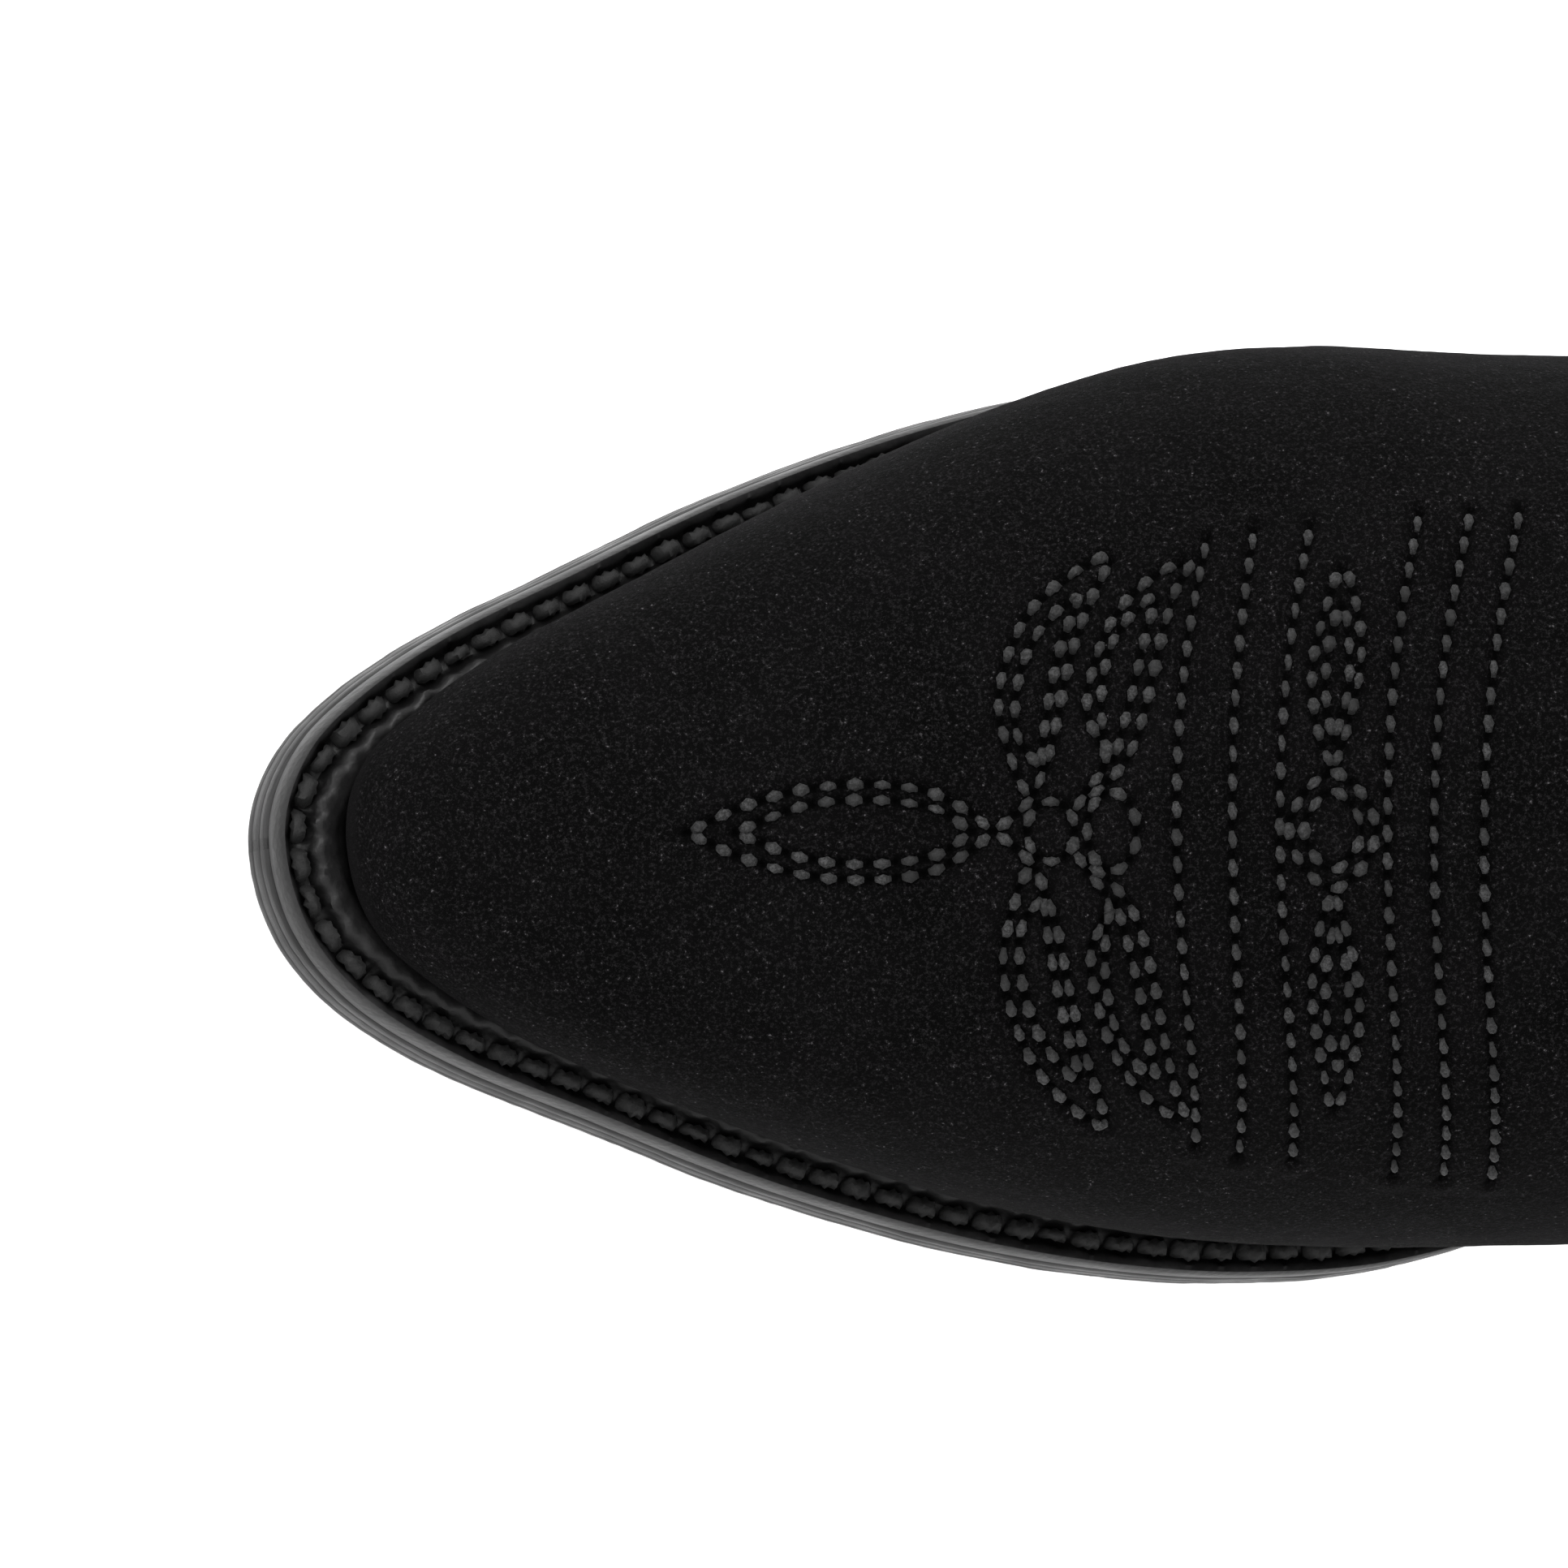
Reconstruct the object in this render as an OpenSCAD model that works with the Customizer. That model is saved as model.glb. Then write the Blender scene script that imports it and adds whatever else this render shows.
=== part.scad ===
// Western boot, right foot: welted leather sole, stacked heel, suede upper, lined shaft and two pull straps.
// Millimetres. The origin is the centre of the heel's walking face, +Z up, the toe towards -X, the
// lateral side of the foot towards +Y.

/* [Sole] */
// Length of the outsole along the ground, toe tip to heel back
sole_length = 280; // [268:1:292]
// Width of the outsole across the ball of the foot
ball_width = 94; // [90:1:98]
// Thickness of the leather outsole
outsole_t = 4.5; // [4:0.5:5]
// Thickness of the welt between outsole and upper
welt_t = 3.2; // [2.8:0.1:3.6]
// Width of the welt strip
welt_w = 12; // [10:0.5:13]
// Thickness of the leather insole board
insole_t = 3; // [2.5:0.5:3.5]

/* [Heel] */
// Thickness of the rubber cap that the heel walks on
heel_cap_t = 6; // [5:0.5:7]
// Size of the lowest lift compared with the heel seat
heel_taper = 0.84; // [0.78:0.01:0.9]

/* [Upper] */
// Height of the shaft at its side peaks
shaft_height = 330; // [310:5:345]
// Depth of the scallop at the front of the topline
front_dip = 42; // [20:1:50]
// Depth of the scallop at the back of the topline
back_dip = 30; // [15:1:40]
// Thickness of the suede and of the shaft leather
upper_t = 1.5; // [1.3:0.1:1.6]
// Thickness of the lining leather
lining_t = 1.05; // [0.9:0.05:1.1]
// Thickness of the toe puff and of the heel stiffener
stiffener_t = 0.95; // [0.8:0.05:1]

/* [Pull straps] */
// Width of the webbing of the pull straps
strap_w = 24; // [20:1:26]
// Thickness of the webbing
strap_t = 1.7; // [1.4:0.1:1.8]
// Height of the finger loop above the topline
loop_h = 22; // [20:1:26]
// Length of the sewn legs below the topline
strap_leg = 62; // [50:1:70]

/* [Hidden] */

// Nominal last: all the tables below are drawn for this length and width.
NOMINAL_LENGTH = 280;
NOMINAL_WIDTH = 94;
STRETCH = [sole_length / NOMINAL_LENGTH, ball_width / NOMINAL_WIDTH, 1];
// Centre of the heel's walking face on the nominal last, from the toe tip and from the toe's axis.
HEEL_CENTRE = [247, 1.6];
// Gap left between neighbouring parts, and between the layers of leather that bend together.
GAP = 0.2;
LAYER_GAP = 0.6;
// Height of the feather line, where the upper leaves the sole, above the walking surface of the sole.
FEATHER_LIFT = outsole_t + welt_t + 1.3;
// Station of the heel breast, where the heel block starts.
BREAST = 222;

// Walking surface of the sole: [station from the toe tip, height].
SOLE_PROFILE = [
  [0, 7], [20, 4.4], [45, 2], [75, 0.5], [105, 0], [125, 0.8], [150, 5.5], [172, 13.5],
  [192, 22.5], [208, 29], [BREAST, 33.4], [245, 36], [280, 37.4]
];
// Edge of the outsole: [station, half width lateral, half width medial].
SOLE_EDGE = [
  [0, 0, 0], [2, 7, 8.6], [5, 11, 13], [10, 15, 17.4], [20, 20.8, 22.8], [35, 27.3, 28.6],
  [55, 35.6, 36.2], [75, 42, 42], [92, 45.7, 45.3], [108, 47.2, 46.8], [125, 46.8, 46.2],
  [145, 43.6, 41.6], [168, 37.6, 33.6], [190, 33.4, 28.6], [208, 32, 27.8], [BREAST, 32, 28.8],
  [242, 32.6, 30], [257, 31, 29], [268, 25.6, 24.4], [276, 15.4, 15], [280, 0, 0]
];
// Feather line, where the upper meets the welt: [station, half width lateral, half width medial].
FEATHER = [
  [9.5, 0, 0], [12, 6.8, 8], [17, 10.8, 12.4], [27, 16.6, 18.2], [38, 21.4, 22.8], [57, 29, 29.4],
  [75, 35.2, 34.8], [92, 39.2, 37.8], [108, 41.4, 39.4], [125, 41.4, 39.2], [145, 39.4, 36.2],
  [168, 35.2, 30.6], [190, 31.6, 26.8], [208, 30.4, 26.4], [BREAST, 30.4, 27.2], [240, 30.6, 27.8],
  [255, 29, 26.8], [266, 23.8, 22.4], [273.5, 14, 13.4], [276.5, 0, 0]
];
FEATHER_START = FEATHER[0][0];
FEATHER_END = FEATHER[len(FEATHER) - 1][0];
// Fullness of the upper above the feather line: [station, half width lateral, half width medial].
FULLNESS = [
  [9.5, 0, 0], [12, 7.2, 8.5], [17, 11.5, 13.2], [27, 17.8, 19.5], [38, 23, 24.5], [57, 31.8, 31.6],
  [75, 39.2, 37.2], [92, 44.2, 40.8], [108, 45.8, 42.6], [125, 45, 43.4], [145, 43.6, 43.4],
  [168, 41, 40], [190, 39, 37], [215, 38, 35.6], [240, 38, 36], [260, 38.4, 37], [276.5, 39, 38]
];
// Instep line of the upper: [station on the sole, station of the instep point, its height].
INSTEP = [
  [9.5, 9.5, 16], [11, 11, 20.8], [14, 14, 24], [22, 22, 28.2], [40, 40, 36.4], [70, 70, 49.4],
  [100, 100, 62.4], [120, 117, 70], [145, 134, 77.8], [170, 147, 84.4], [195, 156, 91],
  [218, 161.4, 96.8], [240, 164.6, 102.2], [260, 166.8, 107.6], [276.5, 168, 112]
];
// Back of the heel, from the feather line up to the ankle: [measure, [station, height]].
ANKLE = 150;
HEEL_BACK = [
  [1, [276.5, 37.3 + FEATHER_LIFT]], [1.15, [279, 59]], [1.35, [280, 78]], [1.6, [277.4, 104]],
  [1.8, [274.6, 127]], [2, [273.4, ANKLE]]
];
// Bend of the ankle at the front: [measure, [station, height]].
ANKLE_BEND = [[1, [168, 112]], [1.3, [169.4, 122]], [1.65, [169.8, 136]], [2, [169, ANKLE]]];
// Shaft: [height, [front station, back station, half width]].
SHAFT = [
  [ANKLE, [169, 273.4, 40.6]], [190, [165.6, 274.6, 43]], [235, [160.6, 278, 45.6]],
  [285, [155, 283.4, 48]], [shaft_height, [150.4, 288, 49.6]], [shaft_height + 20, [148.6, 290, 50]]
];
// Sharpness of the section: 1 is an ellipse, above 1 is ridged and below 1 is blunt.
SHARPNESS = [[0, 1], [0.3, 1.02], [0.5, 1.1], [0.7, 1], [1, 0.86], [1.5, 0.86], [2, 0.94], [3, 0.96]];

// ---- Curves through points ----

function last_index(rows) = len(rows) - 1;

function span_of(rows, x, i = 0) =
  (i >= last_index(rows) - 1 || x <= rows[i + 1][0]) ? i : span_of(rows, x, i + 1);

function slope_at(rows, i) =
  let (a = max(i - 1, 0), b = min(i + 1, last_index(rows)))
  (rows[b][1] - rows[a][1]) / (rows[b][0] - rows[a][0]);

// Smooth curve through the rows [x, value], where a value is a number or a vector.
function smooth(rows, x) =
  let (
    i = span_of(rows, x),
    h = rows[i + 1][0] - rows[i][0],
    t = (x - rows[i][0]) / h
  )
  rows[i][1] * (1 + 2 * t) * (1 - t) * (1 - t)
  + rows[i + 1][1] * t * t * (3 - 2 * t)
  + slope_at(rows, i) * h * t * (1 - t) * (1 - t)
  + slope_at(rows, i + 1) * h * t * t * (t - 1);

function mix(a, b, t) = a + (b - a) * t;
function clamp(x, low, high) = min(max(x, low), high);
function ease(t) = let (c = clamp(t, 0, 1)) c * c * (3 - 2 * c);
function unit(v) = v / norm(v);

// Stations spaced by a cosine, so that a rounded end is drawn finely.
function station(t, from, to) = from + (to - from) * (1 - cos(180 * t)) / 2;
function measure(s, from, to) = acos(clamp(1 - 2 * (s - from) / (to - from), -1, 1)) / 180;

EDGE_CURVE = [for (r = SOLE_EDGE) [measure(r[0], 0, NOMINAL_LENGTH), [r[1], r[2]]]];
FEATHER_CURVE = [for (r = FEATHER) [measure(r[0], FEATHER_START, FEATHER_END), [r[1], r[2]]]];
FULL_CURVE = [for (r = FULLNESS) [measure(r[0], FEATHER_START, FEATHER_END), [r[1], r[2]]]];
INSTEP_CURVE = [for (r = INSTEP) [measure(r[0], FEATHER_START, FEATHER_END), [r[1], r[2]]]];

function sole_z(s) = smooth(SOLE_PROFILE, s);
function place(s, y, z) = [
  (s - HEEL_CENTRE[0]) * STRETCH[0], (y - HEEL_CENTRE[1]) * STRETCH[1], z
];

// ---- The surface of the upper ----
// u is the measure along the boot: 0 at the toe, 1 where the feather line ends at the heel, 2 at the
// ankle and 3 at the topline. q is the measure around it: 0 along the front, 1 and -1 at the feather
// line or the back seam on the lateral and the medial side.

function topline(angle) =
  shaft_height - (cos(angle) > 0 ? front_dip : back_dip) * pow(cos(angle) * cos(angle), 1.3);

function foot_end(u) =
  u <= 1
  ? let (s = station(max(u, 0), FEATHER_START, FEATHER_END)) [s, sole_z(s) + FEATHER_LIFT]
  : smooth(HEEL_BACK, u);
function instep_end(u) = u <= 1 ? smooth(INSTEP_CURVE, u) : smooth(ANKLE_BEND, u);
function fullness(u) =
  u <= 1 ? smooth(FULL_CURVE, u) : mix([39, 38], [40.6, 40.6], ease(u - 1));

// Angle of the section at which a side reaches the feather line.
function foot_angle(u, side) =
  u >= 1 ? 180
  : let (
      ratio = smooth(FEATHER_CURVE, u)[side] / fullness(u)[side],
      sharp = smooth(SHARPNESS, u)
    )
    180 - asin(clamp(pow(clamp(ratio, 0, 1), 1 / sharp), 0, 1));

function side_width(full, angle, sharp) =
  full * sign(sin(angle)) * pow(abs(sin(angle)), sharp);

function foot_point(u, q) =
  let (
    side = q >= 0 ? 0 : 1,
    end = foot_angle(u, side),
    angle = q * end,
    foot = foot_end(u),
    top = instep_end(u),
    rise = (cos(angle) - cos(end)) / (1 - cos(end)),
    at = mix(foot, top, rise)
  )
  place(at[0], side_width(fullness(u)[side], angle, smooth(SHARPNESS, u)), at[1]);

function shaft_point(u, q) =
  let (
    angle = q * 180,
    z = mix(ANKLE, topline(angle), u - 2),
    row = smooth(SHAFT, z),
    s = mix(row[1], row[0], (1 + cos(angle)) / 2)
  )
  place(s, side_width(row[2], angle, smooth(SHARPNESS, u)), z);

function upper_point(u, q) = u < 2 ? foot_point(u, q) : shaft_point(u, q);

STEP_U = 0.004;
function along(u, q) = upper_point(u + STEP_U, q) - upper_point(u - STEP_U, q);
function around(u, q) = upper_point(u, q + STEP_U) - upper_point(u, q - STEP_U);
function outward(u, q) = unit(cross(along(u, q), around(u, q)));
function lifted(u, q, d) = upper_point(u, q) + d * outward(u, q);
// Measure at the straight distance d from the point at u, found by halving between u and limit.
function u_moved(u, q, d, limit, tries = 12) =
  let (start = upper_point(u, q)) u_halved(start, q, d, u, limit, tries);
function u_halved(start, q, d, near, far, tries) =
  let (middle = (near + far) / 2)
  tries == 0 ? middle
  : norm(upper_point(middle, q) - start) > d
    ? u_halved(start, q, d, near, middle, tries - 1)
    : u_halved(start, q, d, middle, far, tries - 1);
// Change of q that moves a point by the length d.
function q_for(u, q, d) = d * 2 * STEP_U / norm(around(u, q));

// ---- Seam lines of the upper ----

function feather_measure(s) = measure(s, FEATHER_START, FEATHER_END);
// The vamp ends at the sides along this measure.
VAMP_END = feather_measure(218);
// The tongue of the vamp reaches this measure up the shaft.
TONGUE_END = 2.1;
TONGUE_SPREAD = 0.36;
COUNTER_PEAK = 1.72;
SEAM_LOW = 0.6;
SEAM_HIGH = 0.5;
PUFF_END = feather_measure(64);
STIFF_FADE = feather_measure(84);

function vamp_edge(q) =
  let (bump = pow(max(0, cos(90 * min(1, abs(q) / TONGUE_SPREAD))), 1.4))
  VAMP_END + (TONGUE_END - VAMP_END) * bump;
// How squarely the upper edge of the counter turns down at its sides.
COUNTER_SQUARE = 4.2;
function counter_edge(k) = mix(COUNTER_PEAK, VAMP_END, pow(abs(k), COUNTER_SQUARE));
function seam(u) = mix(SEAM_LOW, SEAM_HIGH, ease((u - VAMP_END) / (2 - VAMP_END)));

// ---- Solids ----

// Closed solid between two grids of points with the same rows and columns. The first grid faces outward.
module shell(outer, inner) {
  rows = len(outer);
  columns = len(outer[0]);
  back = rows * columns;
  points = concat([for (row = outer) each row], [for (row = inner) each row]);
  faces = concat(
    [for (i = [0:rows - 2], j = [0:columns - 2])
      let (a = i * columns + j, b = a + columns)
      each [[a, a + 1, b + 1], [a, b + 1, b],
            [back + a, back + b + 1, back + a + 1], [back + a, back + b, back + b + 1]]],
    [for (i = [0:rows - 2], side = [0, 1])
      let (
        a = i * columns + side * (columns - 1),
        b = a + columns,
        low = side == 0 ? a : b,
        high = side == 0 ? b : a
      )
      each [[low, high, back + high], [low, back + high, back + low]]],
    [for (j = [0:columns - 2], end = [0, 1])
      let (
        a = end * (rows - 1) * columns + j,
        low = end == 0 ? a + 1 : a,
        high = end == 0 ? a : a + 1
      )
      each [[low, high, back + high], [low, back + high, back + low]]]
  );
  polyhedron(points, faces, convexity = 8);
}

// Closed solid swept through rings of points. A looped sweep joins its last ring to its first.
module sweep(rings, looped = false) {
  count = len(rings);
  sides = len(rings[0]);
  spans = looped ? count : count - 1;
  skin = [for (i = [0:spans - 1], j = [0:sides - 1])
    let (
      a = i * sides + j,
      b = i * sides + (j + 1) % sides,
      c = ((i + 1) % count) * sides + (j + 1) % sides,
      d = ((i + 1) % count) * sides + j
    )
    each [[a, b, c], [a, c, d]]];
  caps = looped ? [] : [
    [for (j = [sides - 1:-1:0]) j],
    [for (j = [0:sides - 1]) (count - 1) * sides + j]
  ];
  polyhedron([for (ring = rings) each ring], concat(skin, caps), convexity = 8);
}

function steps(n, from = 0, to = 1) = [for (i = [0:n]) mix(from, to, i / n)];

// Skin piece: one solid over the upper's surface, between the heights low and high above it. Each
// point of the grid is [u, q, lift], and the lift raises or sinks the piece there.
function skin_grid(grid, level) = [for (row = grid) [for (p = row) lifted(p[0], p[1], p[2] + level)]];
module skin(grid, low, high) {
  shell(skin_grid(grid, high), skin_grid(grid, low));
}

// Plate of the sole: rows of [station, half width lateral, half width medial, low height, high height].
module plate(rows) {
  shell(
    [for (r = rows) [place(r[0], -r[2], r[4]), place(r[0], r[1], r[4])]],
    [for (r = rows) [place(r[0], -r[2], r[3]), place(r[0], r[1], r[3])]]
  );
}

function edge_width(s) = smooth(EDGE_CURVE, measure(s, 0, NOMINAL_LENGTH));

// Half width of the sole at the ball, which sets how much a margin narrows an inner plate.
BALL_HALF = 42;
// Ends of a plate that is drawn as rows stop this far from its pointed tips.
TIP = 0.012;
// Rows of a plate inside the feather line, inset by a margin all round, over part of its length.
function inner_rows(margin, from, to, low, high, count) =
  let (
    start = FEATHER_START + margin,
    end = FEATHER_END - margin,
    shrink = 1 - margin / BALL_HALF,
    t0 = measure(max(from, start), start, end),
    t1 = measure(min(to, end), start, end)
  )
  [for (t = steps(count, max(t0, TIP), min(t1, 1 - TIP)))
    let (s = station(t, start, end), w = smooth(FEATHER_CURVE, t) * shrink)
    [s, w[0], w[1], sole_z(s) + low, sole_z(s) + high]];

// Point on the sole's edge, moved inward. The measure k runs from -1 at the heel back on the medial
// side, through 0 at the toe, to 1 at the heel back on the lateral side.
function rim(k) =
  let (t = abs(k), w = smooth(EDGE_CURVE, t))
  [station(t, 0, NOMINAL_LENGTH), k >= 0 ? w[0] : -w[1]];
RIM_STEP = 0.002;
function rim_tangent(k) = unit(rim(k + RIM_STEP) - rim(k - RIM_STEP));
function rim_inset(k, d) =
  let (tangent = rim_tangent(k))
  rim(k) + d * [tangent[1], -tangent[0]];
function rim_point(k, d, z) = let (p = rim_inset(k, d)) place(p[0], p[1], sole_z(p[0]) + z);

BREAST_MEASURE = measure(BREAST, 0, NOMINAL_LENGTH);

// ---- Sole ----

module outsole() {
  color([0.34, 0.33, 0.34])
    plate([for (t = steps(52, 0.01, 0.99))
      let (s = station(t, 0, NOMINAL_LENGTH), w = smooth(EDGE_CURVE, t))
      [s, w[0], w[1], sole_z(s), sole_z(s) + outsole_t]]);
}

// Strip along the sole's edge between two measures, from one inset to another.
WELT_INSET = 0.3;
module edge_strip(ks, outer_inset, inner_inset, low, high) {
  shell(
    [for (k = ks) [rim_point(k, inner_inset, high), rim_point(k, outer_inset, high)]],
    [for (k = ks) [rim_point(k, inner_inset, low), rim_point(k, outer_inset, low)]]
  );
}

module welt() {
  low = outsole_t + GAP / 2;
  color([0.25, 0.25, 0.26])
    edge_strip(steps(72, -BREAST_MEASURE, BREAST_MEASURE), WELT_INSET, welt_w, low, low + welt_t);
}

// Horseshoe strip around the heel seat, behind the ends of the welt.
RAND_STEPS = steps(14, BREAST_MEASURE + 0.004, 0.985);
RAND_KS = concat(RAND_STEPS, [for (i = [14:-1:0]) -RAND_STEPS[i]]);
function rand_width(k) = mix(10, 8, ease((abs(k) - 0.8) / 0.18));
module heel_rand() {
  low = outsole_t + GAP / 2;
  color([0.2, 0.2, 0.21])
    shell(
      [for (k = RAND_KS) [rim_point(k, rand_width(k), low + welt_t), rim_point(k, WELT_INSET, low + welt_t)]],
      [for (k = RAND_KS) [rim_point(k, rand_width(k), low), rim_point(k, WELT_INSET, low)]]
    );
}

CORK_START = 24;
CORK_END = 138;
// Cork fills the hollow that the welt leaves under the ball of the foot.
module cork_filler() {
  low = outsole_t + GAP / 2;
  inset = welt_w + 3;
  color([0.62, 0.47, 0.3])
    plate([for (t = steps(30, measure(CORK_START, 0, NOMINAL_LENGTH), measure(CORK_END, 0, NOMINAL_LENGTH)))
      let (s = station(t, 0, NOMINAL_LENGTH), w = smooth(EDGE_CURVE, t))
      [s, max(w[0] - inset, 1), max(w[1] - inset, 1), sole_z(s) + low, sole_z(s) + low + welt_t - GAP]]);
}

SHANK_START = 142;
SHANK_END = 240;
SHANK_T = 1.3;
// The shank's half widths at its ends, and how far it lies towards the lateral side.
SHANK_HALF = [7.6, 6];
SHANK_SHIFT = 1.5;
// Steel spring along the waist, from behind the ball to over the heel seat, with rounded ends.
module shank() {
  low = outsole_t + GAP;
  color([0.62, 0.64, 0.66])
    plate([for (s = steps(22, SHANK_START, SHANK_END))
      let (
        rounding = min(1, 0.6 + min(s - SHANK_START, SHANK_END - s) / 8),
        w = mix(SHANK_HALF[0], SHANK_HALF[1], (s - SHANK_START) / (SHANK_END - SHANK_START)) * rounding
      )
      [s, w + SHANK_SHIFT, w - SHANK_SHIFT, sole_z(s) + low, sole_z(s) + low + SHANK_T]]);
}

INSOLE_LOW = FEATHER_LIFT;
SOCK_LOW = INSOLE_LOW + insole_t + GAP;
SOCK_T = 1.2;
// How far inside the feather line each inner plate ends.
INSOLE_MARGIN = 4.4;
SOCK_MARGIN = 5;
PAD_MARGIN = 7;
PAD_START = 214;
PAD_T = 1.9;

module insole() {
  color([0.72, 0.58, 0.42])
    plate(inner_rows(INSOLE_MARGIN, 0, NOMINAL_LENGTH, INSOLE_LOW, INSOLE_LOW + insole_t, 44));
}
module sock_liner() {
  color([0.12, 0.12, 0.13])
    plate(inner_rows(SOCK_MARGIN, 0, NOMINAL_LENGTH, SOCK_LOW, SOCK_LOW + SOCK_T, 44));
}
module heel_pad() {
  low = SOCK_LOW + SOCK_T + GAP / 2;
  color([0.2, 0.19, 0.2])
    plate(inner_rows(PAD_MARGIN, PAD_START, NOMINAL_LENGTH, low, low + PAD_T, 20));
}

PEG_R = 1.1;
PEG_PITCH = 8;
PEG_INSET = 7;
PEG_START = 150;
PEG_END = 214;
// Pegs stop this far inside the sole's walking face.
PEG_SUNK = 0.4;
PEG_H = outsole_t + welt_t - 1.4;
// Wooden pegs that hold the waist of the sole, in a row along each side.
module sole_pegs() {
  color([0.8, 0.66, 0.42])
    for (s = [PEG_START:PEG_PITCH:PEG_END], side = [-1, 1]) {
      w = edge_width(s);
      y = side > 0 ? w[0] - PEG_INSET : -(w[1] - PEG_INSET);
      at = place(s, y, sole_z(s));
      translate([at[0], at[1], at[2] + PEG_SUNK])
        cylinder(r = PEG_R, h = PEG_H, $fn = 24);
    }
}

STITCH_INSET = 3;
STITCH_R = 0.4;
// Lockstitched thread that joins welt and outsole round the forepart, lying on the welt. The waist
// behind it is pegged.
STITCH_END = measure(134, 0, NOMINAL_LENGTH);
module welt_stitching() {
  z = outsole_t + welt_t + GAP + STITCH_R;
  color([0.09, 0.09, 0.1])
    sweep([for (k = steps(60, -STITCH_END, STITCH_END))
      let (
        tangent = rim_tangent(k),
        inward = [tangent[1], -tangent[0], 0],
        p = rim_point(k, STITCH_INSET, z)
      )
      [for (a = [0:60:300]) p + STITCH_R * (cos(a) * inward + sin(a) * [0, 0, 1])]]);
}

// ---- Heel ----

// Stations of the back and the breast of the walking cap, and of the back of the heel seat.
CAP_BACK = 269.5;
CAP_BREAST = 226;
BLOCK_BACK = NOMINAL_LENGTH - 0.6;
SEAT_HEIGHT = 36;
// The heel block is this much narrower than the sole at the seat.
SEAT_TAPER = 0.985;

// How far up the heel block a height is: 0 at the ground, 1 at the seat.
function heel_level(z) = clamp(z / SEAT_HEIGHT, 0, 1);
function heel_row(t, z) =
  let (
    s = station(t, 0, NOMINAL_LENGTH),
    level = heel_level(z),
    breast = mix(CAP_BREAST, BREAST + 1, level),
    back = mix(CAP_BACK, BLOCK_BACK, pow(level, 1.2)),
    w = smooth(EDGE_CURVE, t) * mix(heel_taper, SEAT_TAPER, level)
  )
  [mix(breast, back, (s - BREAST) / (NOMINAL_LENGTH - BREAST)), w[0], w[1]];
HEEL_STEPS = steps(26, BREAST_MEASURE, 0.988);

module heel_slab(low, high) {
  shell(
    [for (t = HEEL_STEPS)
      let (z = high(heel_row(t, SEAT_HEIGHT)[0]), r = heel_row(t, z))
      [place(r[0], -r[2], z), place(r[0], r[1], z)]],
    [for (t = HEEL_STEPS)
      let (r = heel_row(t, low))
      [place(r[0], -r[2], low), place(r[0], r[1], low)]]
  );
}

LIFT_COUNT = 5;
STACK_TOP = 31.6;
LIFT_T = (STACK_TOP - heel_cap_t) / (LIFT_COUNT - 1);
function lift_low(i) = heel_cap_t + LIFT_T * (i - 1) + GAP / 4;

// The top lift is a wedge under the sloping heel seat; the others are flat.
module heel_lift(i) {
  low = lift_low(i);
  color(i % 2 == 0 ? [0.15, 0.15, 0.16] : [0.19, 0.19, 0.2])
    if (i < LIFT_COUNT) {
      heel_slab(low, function (s) low + LIFT_T - GAP / 4);
    } else {
      heel_slab(low, function (s) sole_z(s) - GAP / 2);
    }
}

module heel_cap() {
  rows = [for (t = HEEL_STEPS) heel_row(t, heel_cap_t / 2)];
  outline = concat(
    [for (r = rows) let (p = place(r[0], r[1], 0)) [p[0], p[1]]],
    [for (i = [len(rows) - 1:-1:0]) let (p = place(rows[i][0], -rows[i][2], 0)) [p[0], p[1]]]
  );
  color([0.1, 0.1, 0.1])
    linear_extrude(heel_cap_t)
      polygon(outline);
}

NAIL_R = 0.9;
NAIL_H = 28;
NAIL_INSET = 8;
NAIL_LOW = 1;
NAIL_FORWARD = 1.5;
NAIL_MEASURES = [0.75:0.045:0.89];
// Nails through the heel stack, in a horseshoe.
module heel_nails() {
  color([0.7, 0.6, 0.35])
    for (t = NAIL_MEASURES, side = [-1, 1]) {
      r = heel_row(t, heel_cap_t);
      y = side > 0 ? r[1] - NAIL_INSET : -(r[2] - NAIL_INSET);
      at = place(r[0] - NAIL_FORWARD, y, NAIL_LOW);
      translate(at)
        cylinder(r = NAIL_R, h = NAIL_H, $fn = 24);
    }
}

// ---- Foot of the upper ----

NOSE = 0.012;
SEAM_GAP = 0.9;

// Rows run evenly to the waist and then fan out to the edge line.
function foot_grid(edge, lift, rows, columns, reach = 1, nose = NOSE) =
  [for (r = steps(rows))
    [for (q = steps(columns, -reach, reach))
      let (
        waist = 0.5,
        split = 0.62,
        u = r < split ? mix(nose, waist, r / split) : mix(waist, edge(q), (r - split) / (1 - split))
      )
      [u, q, lift(u, q)]]];

// The rear edge of the vamp lies over the shaft and the counter by LAP, and rises over LAP_RISE.
LAP = 6;
LAP_START = 16;
LAP_RISE = 7;
LAP_GAP = 1;
LAP_FADE = 0.15;
function lap_lift(u, q) =
  let (away = norm(upper_point(vamp_edge(q), q) - upper_point(u, q)))
  (upper_t + LAP_GAP) * ease((LAP_START - away) / LAP_RISE) * ease((1 - abs(q)) / LAP_FADE);

module vamp() {
  color([0.13, 0.13, 0.14])
    skin(foot_grid(function (q) vamp_edge(q), function (u, q) lap_lift(u, q), 34, 26), 0, upper_t);
}

module toe_puff() {
  grid = [for (u = steps(12, 0.03, PUFF_END)) [for (q = steps(16, -0.97, 0.97)) [u, q, 0]]];
  color([0.78, 0.74, 0.66])
    skin(grid, -LAYER_GAP - stiffener_t, -LAYER_GAP);
}

// The lining sinks under the toe puff and rises behind it.
function lining_sink(u) =
  -(stiffener_t + LAYER_GAP) * (1 - ease((u - PUFF_END) / (STIFF_FADE - PUFF_END)));

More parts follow.
